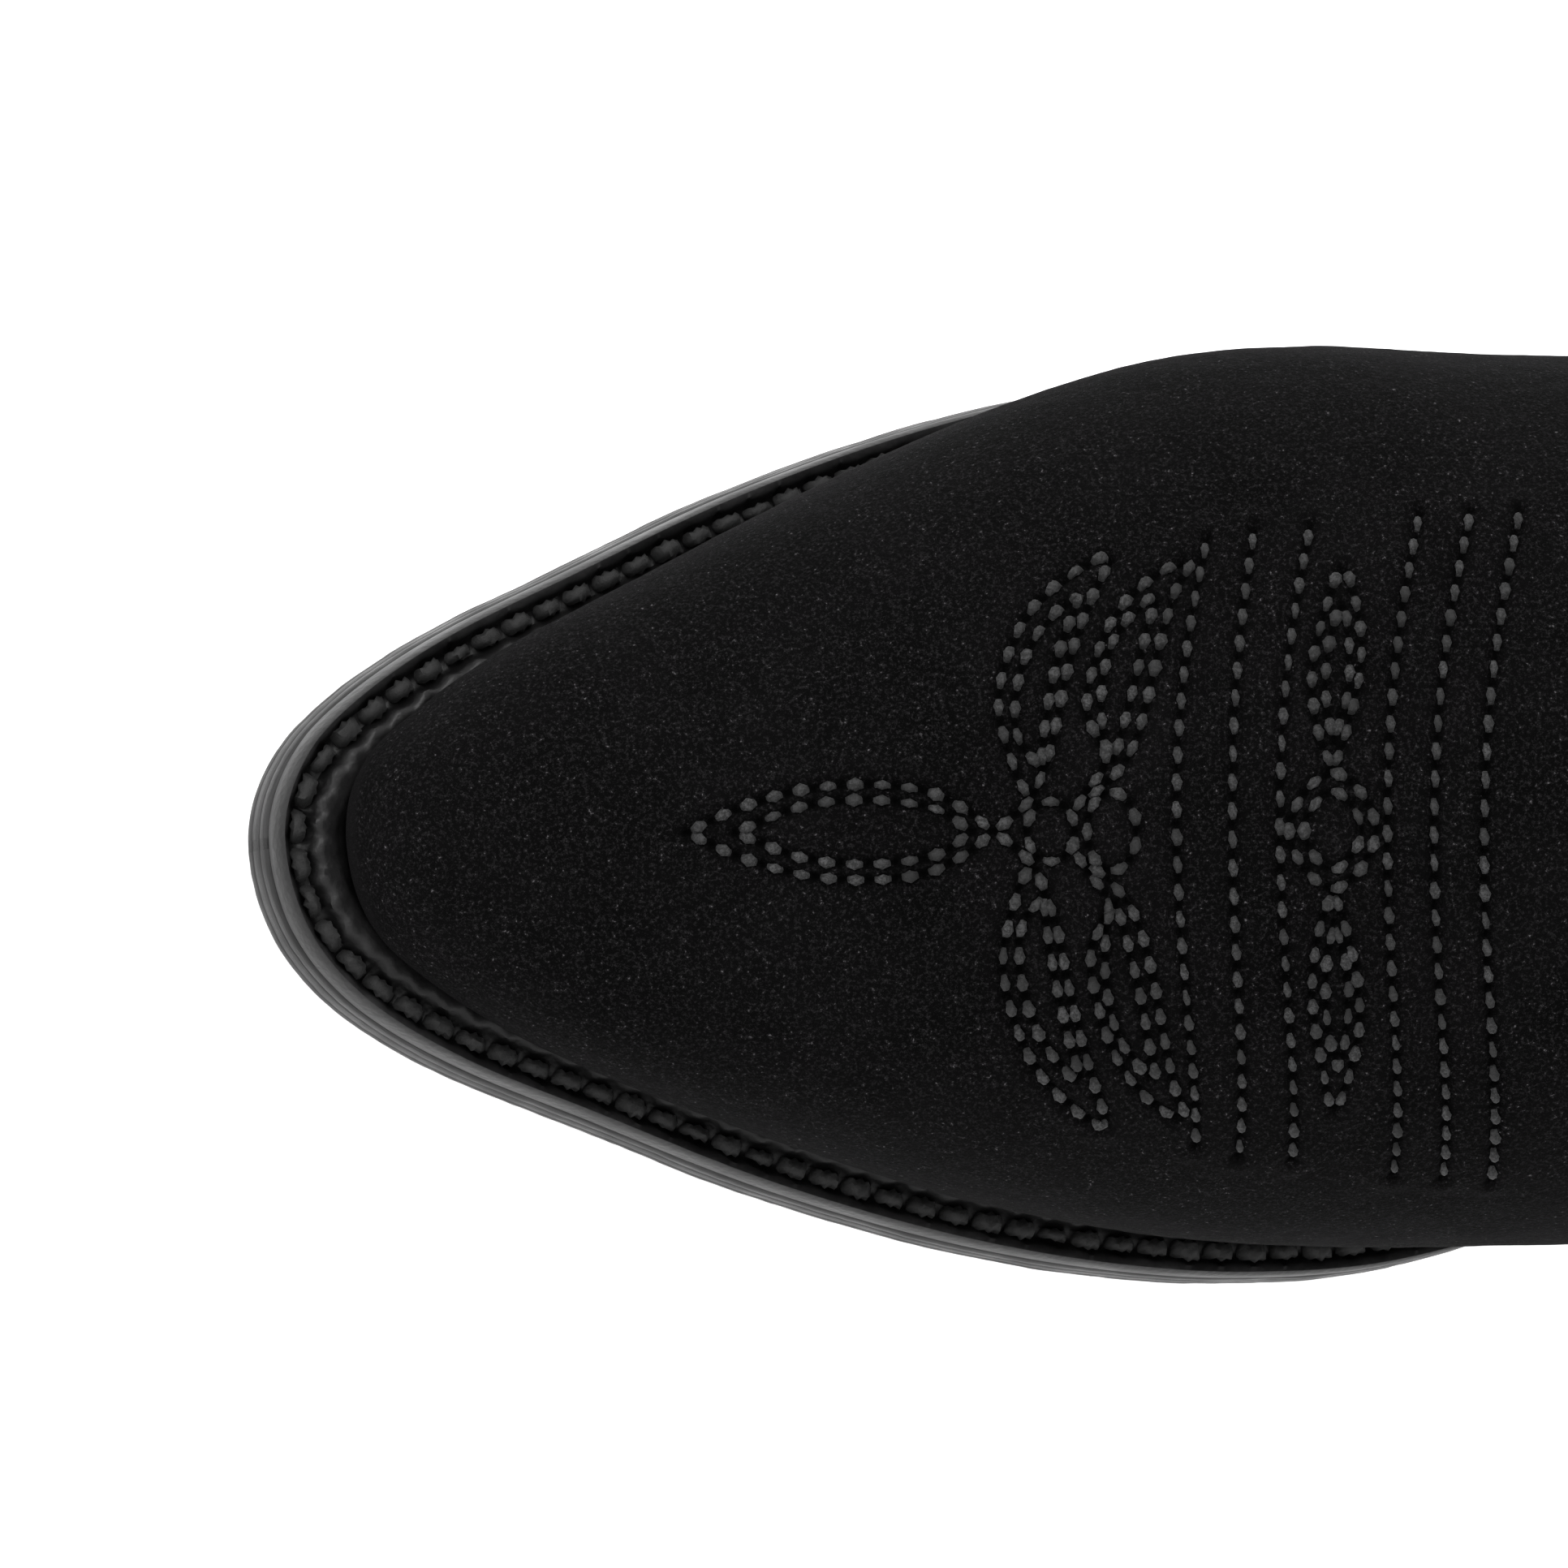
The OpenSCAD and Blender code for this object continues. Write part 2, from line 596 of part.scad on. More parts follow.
module vamp_lining() {
  grid = foot_grid(function (q) VAMP_END - 0.01, function (u, q) lining_sink(u), 26, 18, 0.985, 0.035);
  color([0.5, 0.38, 0.28])
    skin(grid, -LAYER_GAP - lining_t, -LAYER_GAP);
}

// Columns around the heel: k is -1 at the medial front edge, 0 at the back and 1 at the lateral edge.
// Above TUCK_START of its height the front edge runs under the vamp by the measure tuck.
TUCK_START = 0.4;
TUCK_RISE = 0.3;
TUCK_BACK = 0.002;
TUCK_FADE = 8;
function heel_grid(rows, columns, low_margin, peak_margin, reach, tuck) =
  [for (k = steps(columns, -reach, reach))
    let (
      turn = abs(k),
      side = k >= 0 ? 1 : -1,
      foot_u = mix(1, VAMP_END, turn),
      edge_u = counter_edge(k) - peak_margin * (1 - 0.7 * turn),
      edge_q = 1 - (1 - seam(edge_u)) * turn
    )
    [for (r = steps(rows, low_margin, 1))
      let (shift = mix(TUCK_BACK, -tuck, ease((r - TUCK_START) / TUCK_RISE)) * pow(turn, TUCK_FADE))
      [mix(foot_u, edge_u, r) + shift, side * mix(1, edge_q, r), 0]]];

// The counter and the back panel meet edge to edge, so they have the same columns.
HEEL_COLUMNS = 33;
module heel_counter() {
  color([0.12, 0.12, 0.13])
    skin(heel_grid(11, HEEL_COLUMNS, 0, 0, 1, 0.016), 0, upper_t);
}
// The stiffener ends two columns short of the counter on each side.
STIFF_REACH = 1 - 4 / HEEL_COLUMNS;
module heel_stiffener() {
  color([0.8, 0.76, 0.68])
    skin(heel_grid(9, HEEL_COLUMNS - 4, 0.06, 0.2, STIFF_REACH, 0), -LAYER_GAP - stiffener_t, -LAYER_GAP);
}
module counter_lining() {
  depth = 2 * LAYER_GAP + stiffener_t;
  color([0.48, 0.36, 0.27])
    skin(heel_grid(7, 28, 0.03, 0.02, 0.985, 0), -depth - lining_t, -depth);
}

// ---- Shaft ----

SHAFT_TOP = 3;

// Gap between each shaft panel and the middle of the side seam.
PIPING_HALF = 0.9;

function front_grid(start, rows, columns, seam_gap) =
  [for (r = steps(rows))
    [for (k = steps(columns, -1, 1))
      let (
        u = mix(start(k * SEAM_LOW), SHAFT_TOP, r),
        edge = seam(u) - q_for(u, seam(u), seam_gap)
      )
      [u, k * edge, 0]]];

function back_grid(start, rows, columns, seam_gap) =
  [for (r = steps(rows))
    [for (k = steps(columns, -1, 1))
      let (
        u = mix(start(k), SHAFT_TOP, r),
        edge = seam(u) + q_for(u, seam(u), seam_gap),
        side = k >= 0 ? -1 : 1
      )
      [u, side * (1 - (1 - edge) * abs(k)), 0]]];

function front_start(q) = u_moved(vamp_edge(q), q, LAP, VAMP_END - 0.1);
// Share of the counter's upper edge that the back panel follows, which leaves room for the piping.
BACK_REACH = 0.94;
// The back panel starts no lower than this measure.
PANEL_LOW = 1.1;
function back_start(k) =
  let (e = counter_edge(k * BACK_REACH), q = 1 - (1 - seam(e)) * abs(k))
  max(PANEL_LOW, u_moved(e, q, SEAM_GAP, e + 0.3));

module shaft_front() {
  color([0.13, 0.13, 0.14])
    skin(front_grid(function (q) front_start(q), 24, 20, PIPING_HALF + LAYER_GAP + GAP), 0, upper_t);
}
module shaft_back() {
  color([0.13, 0.13, 0.14])
    skin(back_grid(function (k) back_start(k), 16, HEEL_COLUMNS, PIPING_HALF + LAYER_GAP), 0, upper_t);
}
// The lining panels stop this far short of the side seam.
LINING_SEAM = 2.5;
module shaft_lining_front() {
  color([0.55, 0.42, 0.31])
    skin(front_grid(function (q) VAMP_END + 0.02, 22, 16, LINING_SEAM), -LAYER_GAP - lining_t, -LAYER_GAP);
}
module shaft_lining_back() {
  color([0.53, 0.4, 0.3])
    skin(back_grid(function (k) back_start(k) + 0.02, 18, 21, GAP), -LAYER_GAP - lining_t, -LAYER_GAP);
}

BINDING_DROP = 8;
BINDING_T = 1;
// Bead along the side seam, between the front and the back panel, from above the counter.
PIPING_START = VAMP_END + 0.38;
BEAD_HALF = 1.3;
BEAD_SHOULDER = 2.1;
CROWN_HALF = 0.7;
BEAD_H = 2.9;
module side_piping(side) {
  bead = [[-PIPING_HALF, 0], [PIPING_HALF, 0], [PIPING_HALF, upper_t], [BEAD_HALF, BEAD_SHOULDER],
          [CROWN_HALF, BEAD_H], [-CROWN_HALF, BEAD_H], [-BEAD_HALF, BEAD_SHOULDER],
          [-PIPING_HALF, upper_t]];
  end = SHAFT_TOP - (BINDING_DROP + 1) / (shaft_height - ANKLE);
  color([0.17, 0.17, 0.18])
    sweep([for (u = steps(34, PIPING_START, end))
      let (
        q = side * seam(u),
        out = outward(u, q),
        across = unit(cross(out, along(u, q))),
        p = upper_point(u, q)
      )
      [for (b = bead) p + b[0] * across + b[1] * out]]);
}

// Leather strip folded over the topline.
module top_binding() {
  inner = -2 * LAYER_GAP - lining_t;
  outer = upper_t + LAYER_GAP / 2;
  fold = [[outer + BINDING_T, -BINDING_DROP], [outer + BINDING_T, BINDING_T + GAP],
          [inner - BINDING_T, BINDING_T + GAP], [inner - BINDING_T, -BINDING_DROP],
          [inner, -BINDING_DROP], [inner, GAP], [outer, GAP], [outer, -BINDING_DROP]];
  count = 48;
  color([0.1, 0.1, 0.11])
    sweep([for (i = [0:count - 1])
      let (
        q = -1 + 2 * i / count,
        out = outward(SHAFT_TOP, q),
        up = unit(along(SHAFT_TOP, q)),
        p = upper_point(SHAFT_TOP, q)
      )
      [for (f = fold) p + f[0] * out + f[1] * up]], looped = true);
}

// ---- Pull straps ----

OUTER_LEG = 3.4;
INNER_LEG = -3.6 - strap_t;
LEG_STOP = 1;
// Length of the inner leg as a share of the outer one.
INNER_SHARE = 0.7;
function leg_grid(side, length) =
  let (tall = shaft_height - ANKLE)
  [for (u = steps(8, SHAFT_TOP - length / tall, SHAFT_TOP - LEG_STOP / tall))
    let (half = q_for(u, side * SEAM_HIGH, strap_w / 2))
    [for (k = steps(6, -1, 1)) [u, side * SEAM_HIGH + k * half, 0]]];

// The two sewn ends of a pull strap, outside and inside the shaft.
module strap_legs(side) {
  color([0.11, 0.11, 0.12]) {
    skin(leg_grid(side, strap_leg), OUTER_LEG, OUTER_LEG + strap_t);
    skin(leg_grid(side, strap_leg * INNER_SHARE), INNER_LEG, INNER_LEG + strap_t);
  }
}

LOOP_BASE = 3.2;
LOOP_HALF = 7.5;
// Half of the loop's centre line: [distance from the wall, height above the topline].
LOOP_SIDE = [[0, [4.3, LOOP_BASE]], [0.35, [5.6, LOOP_BASE + 4]], [1, [LOOP_HALF, loop_h - LOOP_HALF]]];
function loop_line() = concat(
  [for (t = steps(8)) smooth(LOOP_SIDE, t)],
  [for (a = [15:15:165]) [LOOP_HALF * cos(a), loop_h - LOOP_HALF + LOOP_HALF * sin(a)]],
  [for (t = steps(8)) let (p = smooth(LOOP_SIDE, 1 - t)) [-p[0], p[1]]]
);
function loop_offset(d) =
  let (line = loop_line(), n = len(line) - 1)
  [for (i = [0:n])
    let (t = unit(line[min(i + 1, n)] - line[max(i - 1, 0)]))
    line[i] + d * [t[1], -t[0]]];
function reversed(list) = [for (i = [len(list) - 1:-1:0]) list[i]];

// Finger loop that stands above the topline and flops over it.
module strap_loop(side) {
  at = upper_point(SHAFT_TOP, side * SEAM_HIGH);
  color([0.11, 0.11, 0.12])
    translate([at[0] + strap_w / 2, at[1], at[2]])
      rotate([90, 0, -90])
        linear_extrude(strap_w)
          polygon(concat(loop_offset(strap_t / 2), reversed(loop_offset(-strap_t / 2))));
}

outsole();
welt();
heel_rand();
cork_filler();
shank();
insole();
sock_liner();
heel_pad();
sole_pegs();
welt_stitching();
heel_cap();
heel_nails();
heel_lift(1);  // heel_lift_1
heel_lift(2);  // heel_lift_2
heel_lift(3);  // heel_lift_3
heel_lift(4);  // heel_lift_4
heel_lift(5);  // heel_lift_5
vamp();
toe_puff();
vamp_lining();
heel_counter();
heel_stiffener();
counter_lining();
shaft_front();
shaft_back();
shaft_lining_front();
shaft_lining_back();
side_piping(1);  // side_piping_lateral
side_piping(-1);  // side_piping_medial
top_binding();
strap_legs(1);  // strap_legs_lateral
strap_legs(-1);  // strap_legs_medial
strap_loop(1);  // strap_loop_lateral
strap_loop(-1);  // strap_loop_medial
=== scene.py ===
import math

import bmesh
import bpy
import numpy as np
from mathutils import Matrix, Vector
from mathutils.kdtree import KDTree


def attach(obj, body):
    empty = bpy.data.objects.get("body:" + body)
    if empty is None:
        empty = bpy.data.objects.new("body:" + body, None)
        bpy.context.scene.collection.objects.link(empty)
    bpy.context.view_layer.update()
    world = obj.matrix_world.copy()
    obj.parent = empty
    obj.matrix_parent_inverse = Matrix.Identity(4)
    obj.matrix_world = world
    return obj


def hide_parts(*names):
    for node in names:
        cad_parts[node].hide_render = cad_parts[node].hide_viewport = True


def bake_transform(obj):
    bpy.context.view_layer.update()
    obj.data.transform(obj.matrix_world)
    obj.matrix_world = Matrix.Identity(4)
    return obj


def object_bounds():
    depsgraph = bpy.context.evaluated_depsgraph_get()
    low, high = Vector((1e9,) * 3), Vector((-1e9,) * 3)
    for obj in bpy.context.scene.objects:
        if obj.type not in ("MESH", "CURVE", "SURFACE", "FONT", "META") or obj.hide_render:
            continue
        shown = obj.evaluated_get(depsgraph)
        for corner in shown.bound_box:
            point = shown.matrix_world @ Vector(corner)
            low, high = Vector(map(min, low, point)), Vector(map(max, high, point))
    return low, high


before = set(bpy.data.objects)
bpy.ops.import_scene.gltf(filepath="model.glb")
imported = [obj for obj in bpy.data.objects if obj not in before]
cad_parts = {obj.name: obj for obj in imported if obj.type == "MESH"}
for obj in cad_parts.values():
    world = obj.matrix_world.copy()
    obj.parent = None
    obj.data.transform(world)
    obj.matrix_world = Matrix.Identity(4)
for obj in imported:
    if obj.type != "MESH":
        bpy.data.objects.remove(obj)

CAD_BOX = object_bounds()
MM = 0.001
WELD_DISTANCE = 1e-6

# ---------------------------------------------------------------------------------------------
# The last and the surface of the upper, as in the CAD source. Lengths are millimetres until a
# mesh is made. Stations s run from the toe tip along the sole.
# ---------------------------------------------------------------------------------------------

LENGTH = 280
HEEL_CENTRE = np.array([247, 1.6, 0])
OUTSOLE_T = 4.5
WELT_T = 3.2
UPPER_T = 1.5
LINING_T = 1.05
GAP = 0.2
FEATHER_LIFT = OUTSOLE_T + WELT_T + 1.3
BREAST = 222
ANKLE = 150
SHAFT_HEIGHT = 330
FRONT_DIP = 42
BACK_DIP = 30
HEEL_CAP_T = 6
HEEL_TAPER = 0.84

# Walking surface of the sole: (station, height).
SOLE_PROFILE = [
    (0, 7), (20, 4.4), (45, 2), (75, 0.5), (105, 0), (125, 0.8), (150, 5.5), (172, 13.5),
    (192, 22.5), (208, 29), (BREAST, 33.4), (245, 36), (280, 37.4),
]
# Half widths of the sole's edge, the feather line and the upper: (station, lateral, medial).
SOLE_EDGE = [
    (0, 0, 0), (2, 7, 8.6), (5, 11, 13), (10, 15, 17.4), (20, 20.8, 22.8), (35, 27.3, 28.6),
    (55, 35.6, 36.2), (75, 42, 42), (92, 45.7, 45.3), (108, 47.2, 46.8), (125, 46.8, 46.2),
    (145, 43.6, 41.6), (168, 37.6, 33.6), (190, 33.4, 28.6), (208, 32, 27.8), (BREAST, 32, 28.8),
    (242, 32.6, 30), (257, 31, 29), (268, 25.6, 24.4), (276, 15.4, 15), (280, 0, 0),
]
FEATHER = [
    (9.5, 0, 0), (12, 6.8, 8), (17, 10.8, 12.4), (27, 16.6, 18.2), (38, 21.4, 22.8),
    (57, 29, 29.4), (75, 35.2, 34.8), (92, 39.2, 37.8), (108, 41.4, 39.4), (125, 41.4, 39.2),
    (145, 39.4, 36.2), (168, 35.2, 30.6), (190, 31.6, 26.8), (208, 30.4, 26.4),
    (BREAST, 30.4, 27.2), (240, 30.6, 27.8), (255, 29, 26.8), (266, 23.8, 22.4),
    (273.5, 14, 13.4), (276.5, 0, 0),
]
FULLNESS = [
    (9.5, 0, 0), (12, 7.2, 8.5), (17, 11.5, 13.2), (27, 17.8, 19.5), (38, 23, 24.5),
    (57, 31.8, 31.6), (75, 39.2, 37.2), (92, 44.2, 40.8), (108, 45.8, 42.6), (125, 45, 43.4),
    (145, 43.6, 43.4), (168, 41, 40), (190, 39, 37), (215, 38, 35.6), (240, 38, 36),
    (260, 38.4, 37), (276.5, 39, 38),
]
# Instep line: (station on the sole, station of the instep point, its height).
INSTEP = [
    (9.5, 9.5, 16), (11, 11, 20.8), (14, 14, 24), (22, 22, 28.2), (40, 40, 36.4),
    (70, 70, 49.4), (100, 100, 62.4), (120, 117, 70), (145, 134, 77.8), (170, 147, 84.4),
    (195, 156, 91), (218, 161.4, 96.8), (240, 164.6, 102.2), (260, 166.8, 107.6),
    (276.5, 168, 112),
]
# Back of the heel and bend of the ankle: (measure, station, height).
HEEL_BACK = [
    (1, 276.5, 37.3 + FEATHER_LIFT), (1.15, 279, 59), (1.35, 280, 78), (1.6, 277.4, 104),
    (1.8, 274.6, 127), (2, 273.4, ANKLE),
]
ANKLE_BEND = [(1, 168, 112), (1.3, 169.4, 122), (1.65, 169.8, 136), (2, 169, ANKLE)]
# Shaft: (height, front station, back station, half width).
SHAFT = [
    (ANKLE, 169, 273.4, 40.6), (190, 165.6, 274.6, 43), (235, 160.6, 278, 45.6),
    (285, 155, 283.4, 48), (SHAFT_HEIGHT, 150.4, 288, 49.6), (SHAFT_HEIGHT + 20, 148.6, 290, 50),
]
# Sharpness of the section: 1 is an ellipse, above 1 is ridged and below 1 is blunt.
SHARPNESS = [
    (0, 1), (0.3, 1.02), (0.5, 1.1), (0.7, 1), (1, 0.86), (1.5, 0.86), (2, 0.94), (3, 0.96),
]


def mix(a, b, t):
    return a + (b - a) * t


def ease(t):
    c = np.clip(t, 0, 1)
    return c * c * (3 - 2 * c)


def unit(v):
    return v / np.maximum(np.linalg.norm(v, axis=-1, keepdims=True), 1e-12)


class Curve:
    """Smooth curve through rows of (x, value, ...)."""

    def __init__(self, rows):
        rows = np.array(rows, float)
        self.x = rows[:, 0]
        self.y = rows[:, 1:]
        before = np.maximum(np.arange(len(rows)) - 1, 0)
        after = np.minimum(np.arange(len(rows)) + 1, len(rows) - 1)
        self.slope = (self.y[after] - self.y[before]) / (self.x[after] - self.x[before])[:, None]

    def __call__(self, x):
        x = np.asarray(x, float)
        i = np.clip(np.searchsorted(self.x, x) - 1, 0, len(self.x) - 2)
        h = (self.x[i + 1] - self.x[i])[..., None]
        t = (x - self.x[i])[..., None] / h
        return (
            self.y[i] * (1 + 2 * t) * (1 - t) ** 2
            + self.y[i + 1] * t * t * (3 - 2 * t)
            + self.slope[i] * h * t * (1 - t) ** 2
            + self.slope[i + 1] * h * t * t * (t - 1)
        )


def station(t, start, end):
    return start + (end - start) * (1 - np.cos(np.pi * np.asarray(t, float))) / 2


def measure(s, start, end):
    return np.arccos(np.clip(1 - 2 * (np.asarray(s, float) - start) / (end - start), -1, 1)) / np.pi


FEATHER_START = FEATHER[0][0]
FEATHER_END = FEATHER[-1][0]


def feather_measure(s):
    return measure(s, FEATHER_START, FEATHER_END)


def measured(rows, start, end):
    return Curve([(measure(r[0], start, end), *r[1:]) for r in rows])


SOLE = Curve(SOLE_PROFILE)
EDGE_CURVE = measured(SOLE_EDGE, 0, LENGTH)
FEATHER_CURVE = measured(FEATHER, FEATHER_START, FEATHER_END)
FULL_CURVE = measured(FULLNESS, FEATHER_START, FEATHER_END)
INSTEP_CURVE = measured(INSTEP, FEATHER_START, FEATHER_END)
BACK_CURVE = Curve(HEEL_BACK)
BEND_CURVE = Curve(ANKLE_BEND)
SHAFT_CURVE = Curve(SHAFT)
SHARP_CURVE = Curve(SHARPNESS)
HEEL_FULL = np.array(FULLNESS[-1][1:], float)
ANKLE_FULL = np.array([SHAFT[0][3], SHAFT[0][3]])


def sole_z(s):
    return SOLE(s)[..., 0]


def place(s, y, z):
    """Points of the CAD frame, in millimetres, from stations, offsets and heights."""
    return np.stack(np.broadcast_arrays(s, y, z), axis=-1) - HEEL_CENTRE


def fullness(u):
    blend = ease(u - 1)[..., None]
    shaft = mix(HEEL_FULL, ANKLE_FULL, blend)
    return np.where((u <= 1)[..., None], FULL_CURVE(np.minimum(u, 1)), shaft)


def foot_angles(u, side):
    """Angle of the section at which a side reaches the feather line."""
    ratio = FEATHER_CURVE(np.minimum(u, 1))[..., side] / np.maximum(fullness(u)[..., side], 1e-9)
    sharp = SHARP_CURVE(u)[..., 0]
    angle = np.pi - np.arcsin(np.clip(np.clip(ratio, 0, 1) ** (1 / sharp), 0, 1))
    return np.where(u >= 1, np.pi, angle)


def side_width(full, angle, sharp):
    return full * np.sign(np.sin(angle)) * np.abs(np.sin(angle)) ** sharp


def foot_point(u, q):
    """Point below the ankle: sections swing from the feather line over the instep."""
    lateral = q >= 0
    end = np.where(lateral, foot_angles(u, 0), foot_angles(u, 1))
    angle = q * end
    low = np.minimum(u, 1)
    s_low = station(np.maximum(low, 0), FEATHER_START, FEATHER_END)
    sole_foot = np.stack([s_low, sole_z(s_low) + FEATHER_LIFT], axis=-1)
    foot = np.where((u <= 1)[..., None], sole_foot, BACK_CURVE(np.maximum(u, 1)))
    top = np.where((u <= 1)[..., None], INSTEP_CURVE(low), BEND_CURVE(np.maximum(u, 1)))
    rise = ((np.cos(angle) - np.cos(end)) / (1 - np.cos(end)))[..., None]
    at = mix(foot, top, rise)
    full = fullness(u)
    width = np.where(lateral, full[..., 0], full[..., 1])
    return place(at[..., 0], side_width(width, angle, SHARP_CURVE(u)[..., 0]), at[..., 1])


def topline(angle):
    dip = np.where(np.cos(angle) > 0, FRONT_DIP, BACK_DIP)
    return SHAFT_HEIGHT - dip * (np.cos(angle) ** 2) ** 1.3


def shaft_point(u, q):
    """Point of the shaft, from the ankle to the dipped topline."""
    angle = q * np.pi
    z = mix(ANKLE, topline(angle), u - 2)
    row = SHAFT_CURVE(z)
    s = mix(row[..., 1], row[..., 0], (1 + np.cos(angle)) / 2)
    return place(s, side_width(row[..., 2], angle, SHARP_CURVE(u)[..., 0]), z)


def upper_point(u, q):
    """Point of the upper: u 0 toe, 1 heel seat, 2 ankle, 3 topline; q 0 front, 1 lateral, -1 medial."""
    u, q = np.broadcast_arrays(np.asarray(u, float), np.asarray(q, float))
    return np.where(
        (u < 2)[..., None], foot_point(np.minimum(u, 2), q), shaft_point(np.maximum(u, 2), q)
    )


# Step of the measures over which slopes are taken, and the rounds of halving in u_moved.
STEP_U = 0.004
HALVINGS = 12


def along(u, q):
    """Direction up the boot, towards the topline."""
    return upper_point(u + STEP_U, q) - upper_point(u - STEP_U, q)


def around(u, q):
    """Direction round the boot, towards the lateral side."""
    return upper_point(u, q + STEP_U) - upper_point(u, q - STEP_U)


def outward(u, q):
    return unit(np.cross(along(u, q), around(u, q)))


def q_for(u, q, d):
    """Change of q that moves a point by the distance d round the boot."""
    return d * 2 * STEP_U / np.linalg.norm(around(u, q), axis=-1)


def u_moved(u, q, d, limit):
    """Measure at the straight distance d from the point at u, found by halving towards limit."""
    start = upper_point(u, q)
    near, far = np.broadcast_arrays(np.asarray(u, float), np.asarray(limit, float))
    for _ in range(HALVINGS):
        middle = (near + far) / 2
        beyond = np.linalg.norm(upper_point(middle, q) - start, axis=-1) > d
        near, far = np.where(beyond, near, middle), np.where(beyond, middle, far)
    return (near + far) / 2


# Seam lines of the upper.
VAMP_END = float(feather_measure(218))
TONGUE_END = 2.1
TONGUE_SPREAD = 0.36
COUNTER_PEAK = 1.72
SEAM_LOW = 0.6
SEAM_HIGH = 0.5
SHAFT_TOP = 3
LAP = 6
LAP_START = 16
LAP_RISE = 7
LAP_GAP = 0.5


def vamp_edge(q):
    bump = np.maximum(0, np.cos(np.pi / 2 * np.minimum(1, np.abs(q) / TONGUE_SPREAD))) ** 1.4
    return VAMP_END + (TONGUE_END - VAMP_END) * bump


def counter_edge(k):
    return mix(COUNTER_PEAK, VAMP_END, np.abs(k) ** 4.2)


def seam(u):
    return mix(SEAM_LOW, SEAM_HIGH, ease((u - VAMP_END) / (2 - VAMP_END)))


def lap_lift(u, q):
    """How far the vamp rises near its rear edge, where it lies over the shaft and the counter."""
    away = np.linalg.norm(upper_point(vamp_edge(q), q) - upper_point(u, q), axis=-1)
    return (UPPER_T + LAP_GAP) * ease((LAP_START - away) / LAP_RISE) * ease((1 - np.abs(q)) / 0.15)


def rim(k):
    """Point (station, offset) of the sole's edge: k runs from -1 (medial) through the toe to 1."""
    t = np.abs(k)
    w = EDGE_CURVE(t)
    return np.stack([station(t, 0, LENGTH), np.where(k >= 0, w[..., 0], -w[..., 1])], axis=-1)


def rim_tangent(k):
    return unit(rim(k + 0.002) - rim(k - 0.002))


def rim_point(k, d, z):
    """Point at the inset d from the sole's edge and the height z above the walking surface."""
    p = rim(k)
    tangent = rim_tangent(k)
    inset = np.asarray(d, float)[..., None] * np.stack([tangent[..., 1], -tangent[..., 0]], axis=-1)
    at = p + inset
    return place(at[..., 0], at[..., 1], sole_z(at[..., 0]) + z)


BREAST_MEASURE = float(measure(BREAST, 0, LENGTH))


# ---------------------------------------------------------------------------------------------
# Noise, meshes and pieces
# ---------------------------------------------------------------------------------------------


def lattice(ix, iy, iz, seed):
    """Repeatable value from 0 to 1 for each point of a lattice."""
    h = (ix * 73856093) ^ (iy * 19349663) ^ (iz * 83492791) ^ (seed * 2654435761)
    h = (h ^ (h >> 13)) * 1274126177
    return ((h ^ (h >> 16)) & 0xFFFFF) / 0xFFFFF


def noise(points, size, seed=1):
    """Smooth noise from -1 to 1 with features of the given size."""
    p = np.asarray(points, float) / size
    base = np.floor(p).astype(np.int64)
    f = ease(p - base)
    total = np.zeros(p.shape[:-1])
    for dx in (0, 1):
        for dy in (0, 1):
            for dz in (0, 1):
                weight = (
                    np.where(dx, f[..., 0], 1 - f[..., 0])
                    * np.where(dy, f[..., 1], 1 - f[..., 1])
                    * np.where(dz, f[..., 2], 1 - f[..., 2])
                )
                corner = lattice(base[..., 0] + dx, base[..., 1] + dy, base[..., 2] + dz, seed)
                total += weight * corner
    return 2 * total - 1


def lengths_along(points, axis=0):
    """Length run from the first point of each line of points, along one axis of a grid."""
    steps = np.diff(points, axis=axis, prepend=points.take([0], axis))
    return np.cumsum(np.linalg.norm(steps, axis=-1), axis=axis)


def at_lengths(points, lengths, wanted):
    """Points of a line at the wanted lengths along it."""
    return np.stack([np.interp(wanted, lengths, column) for column in points.T], axis=-1)


def flow_of(points):
    """Lengths along and across a grid of points, for textures that follow it."""
    return np.stack([lengths_along(points), lengths_along(points, 1)], axis=-1)


def flow_grid(run, across):
    """Flow coordinates of a swept section: its run along the sweep and its place across."""
    return np.stack(np.broadcast_arrays(run[:, None], across[None]), axis=-1)


class Parts:
    """Points, quads and flow coordinates that are gathered into one mesh."""

    def __init__(self):
        self.points = []
        self.quads = []
        self.flow = []
        self.count = 0

    def add(self, points, quads, flow):
        points = np.asarray(points, float).reshape(-1, 3)
        self.points.append(points)
        self.quads.append(np.asarray(quads, np.int64).reshape(-1, 4) + self.count)
        self.flow.append(np.asarray(flow, float).reshape(-1, 2))
        self.count += len(points)
        return self


def grid_quads(rows, columns, closed=False):
    """Quads of a grid of points, facing towards the cross product of its rows and its columns."""
    index = np.arange(rows * columns).reshape(rows, columns)
    if closed:
        index = np.concatenate([index, index[:, :1]], axis=1)
    corners = [index[:-1, :-1], index[1:, :-1], index[1:, 1:], index[:-1, 1:]]
    return np.stack(corners, axis=-1).reshape(-1, 4)


def ring_of(rows, columns):
    """Indices round the border of a grid."""
    index = np.arange(rows * columns).reshape(rows, columns)
    return np.concatenate([index[0, :-1], index[:-1, -1], index[-1, :0:-1], index[:0:-1, 0]])


# Rings of points round the rounded edge of a sheet, and how far that edge bulges.
EDGE_ARC = 3
EDGE_BULGE = 0.8


